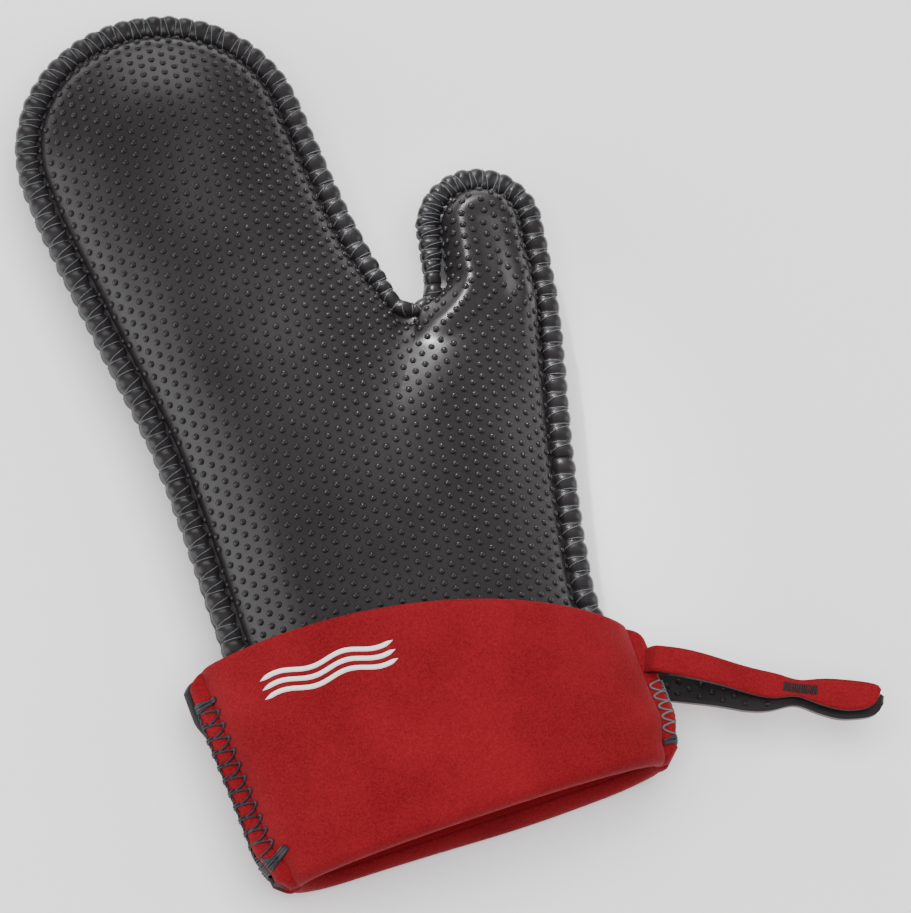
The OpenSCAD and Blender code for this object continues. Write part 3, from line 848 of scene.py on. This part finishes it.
# %% The path of the edge
step = np.linalg.norm(np.diff(edge, axis=0), axis=1)
arc = np.concatenate([[0], np.cumsum(step)])
y_bead = 34.0
first = int(np.argmax(edge[:, 1] > y_bead))
last = n_stations - 1 - int(np.argmax(edge[::-1, 1] > y_bead))
arc_web, arc_thumb_in = arc[s_web], arc[s_web + N_WEB + N_THUMB]
arc_low = arc[s_low]


def pitch_at(a):
    """The stitches stand closer in the crotch and up the inside of the thumb."""
    near = ease((a - (arc_web - 34)) / 16) * (1 - ease((a - arc_thumb_in) / 18))
    return mix(6.25, 4.5, near)


def width_at(a):
    """The rolled seam is narrower in the crotch."""
    near = ease((a - (arc_web - 34)) / 22) * (1 - ease((a - arc_web - 4) / 14))
    return mix(bead_w, 6.4, near)


fine = np.arange(arc[first], arc[last], 0.5)
beat = np.concatenate([[0], np.cumsum(0.5 / pitch_at(fine))])[:-1]
n_stitch = int(beat[-1])
phase_web, phase_low = (float(round(np.interp(a, fine, beat))) for a in (arc_web, arc_low))
print("edge of", n_stitch, "stitches")

# %% [markdown]
# ## The lobes
# bead_surface says where any point of the rolled seam is, from its stitch count and the angle round
# it. The same function makes the rubber and, a little proud of it, carries the threads, so they lie in
# its grooves exactly.

# %% The surface of the rolled seam
def edge_point(a):
    """Point on the outline and the unit way inwards, at length a."""
    a = np.atleast_1d(a)
    x, y = np.interp(a, arc, edge[:, 0]), np.interp(a, arc, edge[:, 1])
    h = 2.0
    dx = np.interp(a + h, arc, edge[:, 0]) - np.interp(a - h, arc, edge[:, 0])
    dy = np.interp(a + h, arc, edge[:, 1]) - np.interp(a - h, arc, edge[:, 1])
    n = np.stack([dy, -dx], 1)
    return np.stack([x, y], 1), n / np.linalg.norm(n, axis=1)[:, None]


def bead_surface(phase, turn, proud=0.0):
    """A point of the edge at a stitch count and an angle round it: 0 inwards, 90 on the palm side."""
    phase, turn = np.broadcast_arrays(np.asarray(phase, float), np.asarray(turn, float))
    a = np.interp(phase, beat, fine)
    o, n = edge_point(a.ravel())
    o, n = o.reshape(*a.shape, 2), n.reshape(*a.shape, 2)
    f = np.radians(turn)
    w = width_at(a) / 2
    lobe = np.abs(np.sin(np.pi * (phase + 0.10 * np.cos(f)))) ** 0.55
    vary = 0.25 * np.sin(phase * 2.3) + 0.18 * np.sin(phase * 5.1 + 1)
    out = w * (0.77 + 0.26 * lobe) + 0.3 * vary + proud
    tall = (sheet_t + 0.3) * (0.70 + 0.34 * lobe) + 0.3 * vary + proud
    cx, cz = np.cos(f), np.sin(f)
    pinch = 1 - 0.24 * np.exp(-(cz / 0.16) ** 2) * (cx < 0)
    rx = np.sign(cx) * np.abs(cx) ** 0.85 * out * pinch
    rz = np.sign(cz) * np.abs(cz) ** 0.85 * tall
    xy = o + n * (w + rx)[..., None]
    return np.concatenate([xy, (seam_z + rz)[..., None]], -1)


def bead_part(p0, p1, sides=18):
    """The rolled seam between two stitch counts, closed at both ends."""
    n = int(round((p1 - p0) * 8))
    phase = np.linspace(p0, p1, n + 1)
    turn = 360.0 * np.arange(sides) / sides
    ring = bead_surface(phase[:, None], turn[None])
    pts = ring.reshape(-1, 3)
    i, k = np.meshgrid(np.arange(n), np.arange(sides), indexing="ij")
    m = (k + 1) % sides
    f = np.stack([i * sides + k, (i + 1) * sides + k, (i + 1) * sides + m, i * sides + m], -1).reshape(-1, 4)
    caps = [np.array([list(range(sides))]), np.array([[n * sides + q for q in range(sides)][::-1]])]
    return make_mesh("part", pts, [f, *caps])


# %% [markdown]
# ## The stitches and the two pieces
# Each stitch is a loop over the lobe and a slanted thread to the next one on either face. The seam
# is made as two pieces, one round the hand and one round the thumb, that meet at the thumb's root, and
# each is joined from its parts with Blender's own join.

# %% Stitches, and the edge in two pieces
def threads(stitches):
    parts = []
    for k in stitches:
        over = np.linspace(28, 332, 17)
        slip = 0.08 * math.sin(3.7 * k)
        parts.append(tube(bead_surface(np.full(17, k + slip), over, 0.1), 0.2, 5))
        for a0, a1 in ((172, 24), (188, 336)):
            v = np.linspace(0, 1, 9)
            way = mix(a0, a1, v)
            parts.append(tube(bead_surface(k + 0.62 * v ** 1.2 + slip, way, 0.12), 0.17, 5))
    return parts


def edge_pieces(label, spans, joiner, *nodes):
    beads = [bead_part(a, b) for a, b in spans]
    lines = [line for a, b in spans for line in threads(range(int(a) + 1, int(b)))]
    bpy.ops.object.select_all(action="DESELECT")
    for o in beads:
        o.select_set(True)
    bead = beads[0]
    bpy.context.view_layer.objects.active = bead
    if len(beads) > 1:
        bpy.ops.object.join()
    bead.name = f"{label}_edge"
    dress(bead, rubber)
    line = joined(f"{label}_stitches", lines, thread)
    joiner(bead)
    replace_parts(joiner(line), *nodes)
    print(label, "edge:", len(bead.data.polygons), "faces, stitches:", len(line.data.polygons))


edge_pieces("hand", [(0, phase_web), (phase_low, n_stitch)], to_fingers,
            "edge_thread_hand", "edge_thread_side", "crotch_tack", "finger_edge_thread")
edge_pieces("thumb", [(phase_web, phase_low)], to_thumb, "thumb_edge_thread")

# %% [markdown]
# ## The cuff
# Below the wrist each sheet turns back outwards, so the red knit shows and the rubber is hidden. A
# grid follows the sheet round the fold and up the outside. The cut top edge slopes from the tall
# corner down to the loop, and the two flaps are sewn together along flat edges.

# %% The outline of the cuff
cuff_l, cuff_r = -wrist_left - 13.5, wrist_right + 7.5
n_fold = 14                                            # rows round the fold
FIN_SHARE = 0.12                                       # the share of a half that the sewn edge takes


def cuff_x0(y):
    return mix(x_left(np.full_like(y, fold_r)), cuff_l, ease((y - fold_r) / 14)) - 2 * ease((y - 20) / 60)


def cuff_x1(y):
    return mix(x_outer(np.full_like(y, fold_r)), cuff_r, ease((y - fold_r) / 14))


def cuff_side(y, right):
    """x of the low side or the tall side at heights y above the mouth."""
    y = np.atleast_1d(np.asarray(y, float))
    return cuff_x1(y) if right else cuff_x0(y)


def cuff_top(x, side):
    """The height of the cut top edge, with its corners rounded."""
    h = cuff_low + (cuff_tall - cuff_low) * (1 - np.clip((x - cuff_l) / (cuff_r - cuff_l), 0, 1) ** 2.8)
    if side < 0:
        h = h - 6.5 * ease((x - cuff_r + 18) / 13)     # the back half ends lower, under the strap
    r = 9.0
    near = np.clip(r - (x - cuff_l + 1.5), 0, r)
    near_r = np.clip(4 - (cuff_r - x), 0, 4)
    return h - (r - np.sqrt(r * r - near**2)) - (4 - np.sqrt(16 - near_r**2))


def spread(across, x0, x1, depth):
    """x across a flap, how far out on the dome each point is, and how far out on the sewn edge."""
    foot = np.where(across > 0, x1 - fin_w - depth, x0 + fin_w + depth)
    a = np.abs(across)
    s = np.sin(np.radians(90) * np.clip(a / (1 - FIN_SHARE), 0, 1))
    on_fin = np.clip((a - (1 - FIN_SHARE)) / FIN_SHARE, 0, 1)
    return mix(mix((x0 + x1) / 2, foot, s), np.where(across > 0, x1, x0), on_fin), s, on_fin


# %% [markdown]
# ## The fold
# Rows of points start on the panel inside the mouth, go half round the fold and then up the outside.
# The knit and the rubber are the same grid at two depths. Slow waves are added last.

# %% Cuff surface
def cuff_surface(across, y, depth, side):
    """across runs from -1 at the tall edge to 1 at the low edge; y is height above the mouth."""
    x, s, on_fin = spread(across, cuff_x0(y), cuff_x1(y), depth)
    push = (sheet_t + gap) * (1 - ease((y - 10) / 18))
    z = sheet_t - depth + push + (palm_rise + gap - push) * crown(s)
    z = z - np.where(depth < 0.7, 3.0, 1.0) * on_fin ** 8
    x = x + np.where(across > 0, -1, 1) * np.where(depth < 0.7, 0.0, 1.6) * on_fin ** 4
    z = np.where(side > 0, seam_z + z, soft_floor(seam_z - z, depth))
    return np.stack(np.broadcast_arrays(x, y, z), -1)


def inner_mouth(across, depth, side):
    """The same grid on the panel inside the fold, at the mouth."""
    y = np.full_like(across, fold_r)
    x, s, _ = spread(across, x_left(y), x_outer(y), depth)
    z = sheet_t - depth + (palm_rise - sheet_t) * crown(s)
    z = np.where(side > 0, seam_z + z, soft_floor(seam_z - z, lift(y) + depth))
    return np.stack([x, y, z], -1)


def cuff_grid(q, side, n_up=46, n_half=40):
    """q is sheet_t on the knit face and 0 on the rubber face."""
    half = np.concatenate([np.arange(n_half + 1) / n_half * 0.88, 0.88 + 0.12 * np.arange(1, 10) / 9])
    across = np.concatenate([-half[:0:-1], half])
    a = inner_mouth(across, q, side)
    b = cuff_surface(across, np.full_like(across, fold_r), sheet_t - q, side)
    rows = []
    corner = 4.5 * ease((np.abs(across) - 0.86) / 0.14) * -np.sign(across)
    for k in range(n_fold):
        f = math.pi * k / n_fold
        row = (a + b) / 2 + (a - b) / 2 * math.cos(f) - np.array([0, (q + gap / 2) * math.sin(f), 0])
        row[:, 0] += corner * math.sin(f)
        rows.append(row)
    x = cuff_surface(across, np.full_like(across, 40.0), 0.0, side)[:, 0]
    for k in range(n_up + 1):
        y = mix(fold_r, cuff_top(x, side), k / n_up)
        row = cuff_surface(across, y, sheet_t - q, side)
        if side < 0:                                   # the tall corner of the back half stands out a little
            row[:, 0] -= 2.2 * ease((y - 60) / 9) * ease((-across - 0.84) / 0.08)
        rows.append(row)
    return np.array(rows)


def swell(grid, side):
    """Slow waves in the cloth, none at the fold, the seams or where it lies on the table."""
    g = grid.copy()
    x, y = g[..., 0], g[..., 1]
    wave = (0.8 * np.sin(x / 17 + y / 31) + 0.6 * np.sin(y / 13 - x / 40 + 1)) * ease((y - 5) / 20)
    inner = ease((x - cuff_l - 9) / 14) * ease((cuff_r - 9 - x) / 14)
    if side > 0:
        g[..., 2] += wave * inner * 0.7
    else:                                              # the back half hangs a little below the front one
        turned = (1 - np.cos(np.pi * np.clip(np.arange(len(g)) / n_fold, 0, 1))) / 2
        g[..., 1] -= turned[:, None] * 2.4 * (1 - ease((y - 2) / 26)) * np.exp(-((x - 42) / 40) ** 2)
    return g

# %% Cuff pieces
for side in (1, -1):
    knit_face, bond, foam_face = (swell(cuff_grid(q, side), side) for q in (sheet_t, rubber_t, 0.0))
    rows, cols = knit_face.shape[:2]
    pieces = []
    for a, b, material, end in ((knit_face, bond, knit, "knit"), (bond, foam_face, foam, "rubber")):
        f = shell_faces(0, rows - 1, rows, cols, side > 0)
        o = dress(make_mesh(f"{names[side]}_cuff_{end}_cloth", two_layers(a, b), [f]), material)
        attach(o, "hand")
        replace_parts(o, f"{names[side]}_cuff_{end}")
        pieces.append(o)
    print(names[side], "cuff:", [len(o.data.polygons) for o in pieces], "faces")


skin_tree = {s: surface_tree(swell(cuff_grid(sheet_t, s), s)) for s in (1, -1)}


def cuff_skin(x, y, side):
    """A place on the cuff's knit face, and the way out of it there."""
    hit, normal = drop(skin_tree[side], x, y, side)
    if hit is None:
        return np.array([x, y, seam_z + side * sheet_t]), np.array([0, 0, float(side)])
    return np.array(hit), np.array(normal)


# %% [markdown]
# ## The stitches of the cuff
# A zigzag holds the flaps together down the tall side: each stitch runs from a chain at the edge
# inwards and back. Thick tacks lock both ends. The low side has a finer, shorter zigzag.

# %% Zigzags and tacks
def on_cuff(points, proud, side):
    found = [cuff_skin(x, y, side) for x, y in points]
    return np.array([p + n * proud for p, n in found])


def wrap_edge(y, right):
    """A few points that take a thread round the flat edge from the palm side to the back."""
    x = cuff_side(y, right)[0]
    out = 1 if right else -1
    t = sheet_t - 0.6
    return np.array([[x - out * 1.2, y, seam_z + t + 0.75], [x + out * 0.1, y, seam_z + t * 0.75],
                     [x + out * 0.55, y, seam_z], [x + out * 0.1, y, seam_z - t * 0.75],
                     [x - out * 1.2, y, seam_z - t - 0.75]])


def zigzag(right, y0, y1, pitch, reach, radius):
    """Loops in from the edge on both faces, a wrap round the edge at each, and a chain along it."""
    n = int(round((y1 - y0) / pitch))
    out = 1 if right else -1
    parts = []
    for i in range(n):
        ya, yb, yc = (mix(y0, y1, (i + v) / n) for v in (0.0, 0.5, 1.0))
        for side in (1, -1):
            xa, xc = cuff_side([ya, yc], right) - out * 0.9
            xb = mix(xa, xc, 0.5) - out * reach
            v = np.linspace(0, 1, 17)
            reach_in = np.abs(np.sin(np.pi * v)) ** 0.8
            lean = 0.9 * np.sin(np.pi * v) * side
            loop = np.stack([mix(mix(xa, xc, v), xb, reach_in), mix(ya, yc, v) + lean], 1)
            parts.append(tube(on_cuff(loop, radius * 0.7, side), radius * (1 + 0.25 * reach_in), 6))
        parts.append(tube(wrap_edge(ya, right), radius * 0.9, 6))
        parts.append(tube(wrap_edge(mix(ya, yb, 0.35), right), radius * 0.8, 6))
    ys = np.linspace(y0, y1, n * 8 + 1)
    for turn in (0, math.pi):
        wave = ys * 2 * math.pi / pitch + turn
        x = cuff_side(ys, right) + out * (0.15 + 0.25 * np.cos(wave))
        z = seam_z + 1.8 + 0.9 * np.sin(wave)
        parts.append(tube(np.stack([x, ys, z], 1), radius * 0.75, 6))
    return parts


def tack(right, y, reach, radius, turns, slope=0.0):
    """A few turns of thread round the edge that draw together inwards."""
    out = 1 if right else -1
    parts = []
    for k in range(turns):
        yk = y + (k - (turns - 1) / 2) * radius * 1.25
        x = cuff_side(yk, right)[0]
        for side in (1, -1):
            v = np.linspace(0, 1, 9)
            close = mix(1.0, 0.45, v)                  # the turns draw together at their inner end
            yv = y + (yk - y) * close + slope * reach * v + 0.25 * np.sin(k * 2.1 + v * 3)
            line = np.stack([mix(x - out * 0.6, x - out * reach, v), yv], 1)
            parts.append(tube(on_cuff(line, radius * (0.7 + 0.5 * math.sin(k * 1.7) ** 2), side), radius, 6))
        parts.append(tube(wrap_edge(yk, right), radius, 6))
    return parts


def sewn(name, parts, material, slot, body, *nodes):
    o = joined(name, parts, material)
    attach(o, body)
    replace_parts(o, *nodes)
    print(name, len(o.data.polygons), "faces")


tall_side, low_side = zigzag(False, 14, 70, 5.1, 5.9, 0.42), zigzag(True, 9, 30, 4.0, 4.2, 0.34)
tacks = (tack(False, 72, 7.0, 0.5, 5, 0.12) + tack(False, 9.5, 8.0, 0.5, 6, 0.45)
         + tack(False, 12.5, 5.0, 0.45, 3, -0.4) + tack(True, 7, 5.5, 0.5, 5))
sewn("tall_side_zigzag", tall_side, dark_thread, "edge_thread", "hand", "cuff_zigzag_left")
sewn("low_side_zigzag", low_side, thread, "edge_thread", "hand", "cuff_zigzag_right")
sewn("cuff_end_tacks", tacks, dark_thread, "edge_thread", "hand", "cuff_tacks")

# %% [markdown]
# ## The mark on the cuff
# Three plain white waves are printed near the tall corner. They are thin ribbons laid on the knit.

# %% Printed waves
mark_at, mark_len, mark_turn = (-14.5, 66.5), 48.0, math.radians(-3)


def printed_wave(k, n=64):
    """One wave as a thin ribbon that starts and ends in a point; k is -1, 0 or 1."""
    left, right = [], []
    for i in range(n + 1):
        u = (i / n - 0.5) * mark_len
        v = k * 3.4 + 1.1 * math.sin(4 * math.pi * i / n)
        w = 0.85 * math.sin(math.pi * min(1, max(0.02, min(i, n - i) / 4)) / 2)
        for sign, out in ((-1, left), (1, right)):
            vv = v + sign * w
            x = mark_at[0] + u * math.cos(mark_turn) - vv * math.sin(mark_turn)
            y = mark_at[1] + u * math.sin(mark_turn) + vv * math.cos(mark_turn)
            p, nn = cuff_skin(x, y, 1)
            out.append([p + nn * 0.10, p - nn * 0.15])
    l, r = np.array(left), np.array(right)
    pts = np.stack([l[:, 1], l[:, 0], r[:, 0], r[:, 1]], 1).reshape(-1, 3)
    faces = []
    for i in range(n):
        for j in range(4):
            m = (j + 1) % 4
            faces.append([i * 4 + j, (i + 1) * 4 + j, (i + 1) * 4 + m, i * 4 + m])
    faces += [[0, 1, 2, 3], [n * 4 + 3, n * 4 + 2, n * 4 + 1, n * 4]]
    return pts, faces


waves = [printed_wave(k) for k in (-1, 0, 1)]
sewn("printed_waves", waves, ink, "print_ink", "hand", "cuff_mark")

# %% [markdown]
# ## The hanging strap
# A strap of the same sheet goes through a slit in the cuff and its ends are sewn together. It is two
# strands, knit outside and pipped rubber inside, pinched at the bar tack and flared at the tails.

# %% The shape of the strap
swing = joints["loop_swing"]
root = np.array(swing["pos_m"]) * 1000 + [0, rest_y, 0]
across_way = -np.array(swing["axis"])
along_way = np.array([across_way[1], -across_way[0], 0.0])
tack_at = 46.0
strap_t = 2.6                                          # the strap is cut from a thinner sheet


def strap_point(u, w, h):
    """A place from the distance along the strap, the distance across it and the height over it."""
    u, w, h = np.broadcast_arrays(u, w, h)
    return root + along_way * u[..., None] + across_way * w[..., None] + np.array([0, 0, 1]) * h[..., None]


def strand_z(height, u, front):
    """A height off the strap's middle turned to a strand's own side, with the wave both share."""
    return height * (1 if front else -1) + 0.8 * np.sin(u / 15)


def strap_middle(u, front):
    """How far the middle of a strand lies above the strap's own line."""
    front_mid = -0.4 - 2.6 * ease(u / 46) + 1.4 * ease((u - 52) / 25)
    return front_mid if front else front_mid - 5.4 + 3.0 * ease((u - 30) / 25)


def strap_edges(u, front):
    """The lower and the upper edge of a strand, at distance u from the cuff edge."""
    waist = np.exp(-((u - tack_at - 5) / 6.5) ** 2)
    bulge = np.exp(-((u - 69) / 8) ** 2)
    low_edge = -4.8 + 1.9 * waist - 1.5 * bulge - 0.2 * np.sin(u / 5)
    up_edge = 4.8 - 1.6 * waist + 0.2 * np.sin(u / 7)
    end = 81.5 if front else 83.5
    t = np.clip((u - (end - 9)) / 9, 0, 1)
    close = np.sqrt(np.clip(1 - t ** 3.0, 0.0004, 1))
    pivot = 2.4                                        # the cut end rounds off mostly on its lower side
    shift = strap_middle(u, front)
    return shift + pivot + (low_edge - pivot) * close, shift + pivot + (up_edge - pivot) * close ** 0.7


def strand_height(u, front):
    """How far the rubber face of a strand stands off; inside the slit the strands close up."""
    base = mix(6.6, 0.25, ease((u - 2) / (tack_at - 6)))
    if front:
        dip = 9.0 * ease((-2 - u) / 6)
        return base - dip + 1.2 * np.exp(-((u - 66) / 9) ** 2) * 0.4
    return base - 6.0 * ease((-1 - u) / 6)


def strand(front, d0, d1, u0, u1, n=84, m=9):
    """A closed slab of one strand between two depths from its rubber face."""
    u = np.linspace(u0, u1, n)
    lo, up = strap_edges(u, front)
    v = np.linspace(0, 1, m)
    layers = []
    for d in (d1, d0):
        w = mix(lo[:, None], up[:, None], v[None])
        h = strand_height(u, front)[:, None] + d - 0.35 * (2 * v[None] - 1) ** 4
        layers.append(strap_point(u[:, None], w, strand_z(h, u[:, None], front)))
    return two_layers(*layers), [list(f) for f in shell_faces(0, n - 1, n, m, not front)]

# %% [markdown]
# ## The strap's pieces
# Each layer of the strap is one piece for both strands. Only the inner faces have pips, and only
# where they can be seen.


def strap_piece(name, parts, material, slot, *nodes):
    """One layer of both strands as one object that stands in for its CAD parts."""
    o = joined(name, parts, material)
    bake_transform(o)
    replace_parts(o, *nodes)
    print(name, len(o.data.polygons), "faces")


def strap_pips():
    """Pips on the inner faces of the two strands, where there is room between them."""
    parts = []
    for i in range(-2, 20):
        for j in range(-3, 4):
            u = 5.0 + i * pip_pitch * 0.87
            across_at = (j + 0.5 * (i % 2)) * pip_pitch
            for front in (True, False):
                lo, up = strap_edges(u, front)
                w = across_at + strap_middle(u, front)
                past_front = not front and w < strap_edges(u, True)[0] - 1.2
                open_here = strand_height(u, True) > 1.7 or past_front
                if u < 4 or u > 80 or w < lo + 1.3 or w > up - 1.3 or not open_here:
                    continue
                out = 1 if front else -1
                at = strap_point(u, w, strand_z(strand_height(u, front), u, front))
                parts.append((pip_co * [1, -out, -out] * 0.9 + at, pip_faces))
    return parts


knit_t = sheet_t - rubber_t
knit_strands = [strand(True, strap_t, strap_t + knit_t, -9, 81.5),
                strand(False, strap_t, strap_t + knit_t, -8, 83.5)]
foam_strands = [strand(True, 0, strap_t, -9, 81.3), strand(False, 0, strap_t, -8, 83.3)]
strap_piece("strap_knit_cloth", knit_strands, knit, "cuff_knit", "strap_knit", "strap_root_knit")
strap_piece("strap_rubber_cloth", foam_strands + strap_pips(), rubber, "pipped_rubber",
            "strap_rubber", "strap_root_rubber")


# %% Bar tack
def bar_tack(stitches=15, pitch=0.85, reach=1.4):
    """Short threads across both faces of the strap, each with its ends down in the cloth."""
    parts = []
    for k in range(stitches):
        u = tack_at + k * pitch
        middle_at = strap_middle(u, True) + 0.1
        for top in (True, False):
            out = 1 if top else -1
            h = strand_z(strand_height(u, top) + strap_t + 0.75, u, top)
            path = ((-1, -reach - 0.5, -0.7 * out), (-0.5, -reach, 0.05), (0, 0, 0.12 * out),
                    (0.5, reach, 0.05), (1, reach + 0.5, -0.7 * out))
            parts.append(tube([strap_point(u + s * 0.25, middle_at + w, h + e) for s, w, e in path], 0.34, 6))
    return parts


sewn("strap_tack", bar_tack(), black_thread, "tack_thread", "loop", "strap_bar_tack")

# %% [markdown]
# ## The stage
# A plain pale floor under a world of dim white light. The mitt is lit like goods for sale:
# soft light from all round, so the shape shows by broad sheens and not by hard shadows.

# %% Floor and world
bpy.ops.object.select_all(action="DESELECT")
bpy.ops.mesh.primitive_plane_add(size=6, location=(0, 0, -0.0006))
floor = bpy.context.object
floor.name = "floor"
paper = bpy.data.materials.new("paper")
paper.use_nodes = True
paper.node_tree.nodes["Principled BSDF"].inputs["Base Color"].default_value = (0.93, 0.93, 0.93, 1)
paper.node_tree.nodes["Principled BSDF"].inputs["Roughness"].default_value = 0.9
dress(floor, paper)
world = bpy.data.worlds.new("studio")
world.use_nodes = True
world.node_tree.nodes["Background"].inputs[0].default_value = (1, 1, 1, 1)
world.node_tree.nodes["Background"].inputs[1].default_value = 0.28
bpy.context.scene.world = world

# %% [markdown]
# ## The lights
# Three windows stand beyond the fingertips, to the left and to the right, and make the long sheens
# along the flanks. A large light overhead lifts the cloth and the floor and is hidden from reflections. A
# narrow lamp, aimed below the crotch, gives the bright patch that shows how the foam is drawn there.

# %% Lights
def add_lamp(name, kind, place_at, target, power):
    lamp = bpy.data.lights.new(name, kind)
    lamp.energy = power
    o = bpy.data.objects.new(name, lamp)
    o.location = place_at
    o.rotation_euler = (Vector(target) - Vector(place_at)).to_track_quat("-Z", "Y").to_euler()
    bpy.context.scene.collection.objects.link(o)
    return o


def area_light(name, place_at, target, size, power):
    o = add_lamp(name, "AREA", place_at, target, power)
    o.data.size = size
    return o


area_light("top_window", (0.30, 1.15, 0.62), (0.06, 0.05, 0.03), 0.7, 4.5)
area_light("left_window", (-1.25, 0.15, 0.60), (0, 0, 0.02), 1.3, 13)
area_light("right_window", (1.25, -0.35, 0.55), (0.05, 0, 0.02), 0.7, 5)
overhead = area_light("overhead", (0.0, 0.1, 2.2), (0, 0.1, 0), 2.6, 95)
overhead.visible_glossy = False
aim = Vector(place([68, 178, 39])[0])
snoot = add_lamp("crotch_lamp", "SPOT", aim + Vector((-0.06, 0.74, 0.67)) * 1.2, aim, 200)
snoot.data.spot_size = math.radians(5)
snoot.data.spot_blend = 1.0
snoot.data.shadow_soft_size = 0.06

# %% [markdown]
# ## The camera
# It looks almost straight down from 1.6 m through a long lens, leaning a little to the mouth's side,
# and is rolled so that the mitt lies aslant in the frame.

# %% Camera
lean, tilt, roll = math.radians(12), math.radians(14.5), math.radians(20.5)
to_camera = Vector((-math.sin(lean) * math.cos(tilt), -math.sin(tilt), math.cos(lean) * math.cos(tilt)))
up = Vector((0, 1, 0)) - to_camera * to_camera.y
up.normalize()
right = up.cross(to_camera)
cam_x = right * math.cos(roll) - up * math.sin(roll)
cam_y = right * math.sin(roll) + up * math.cos(roll)
target = Vector(place([60, 133, 21])[0])
distance, frame_width = 1.6, 0.3323
camera_data = bpy.data.cameras.new("camera")
camera_data.lens = camera_data.sensor_width * distance / frame_width
camera = bpy.data.objects.new("camera", camera_data)
turn = Matrix((cam_x, cam_y, to_camera)).transposed().to_4x4()
camera.matrix_world = Matrix.Translation(target + to_camera * distance) @ turn
bpy.context.scene.collection.objects.link(camera)
bpy.context.scene.camera = camera
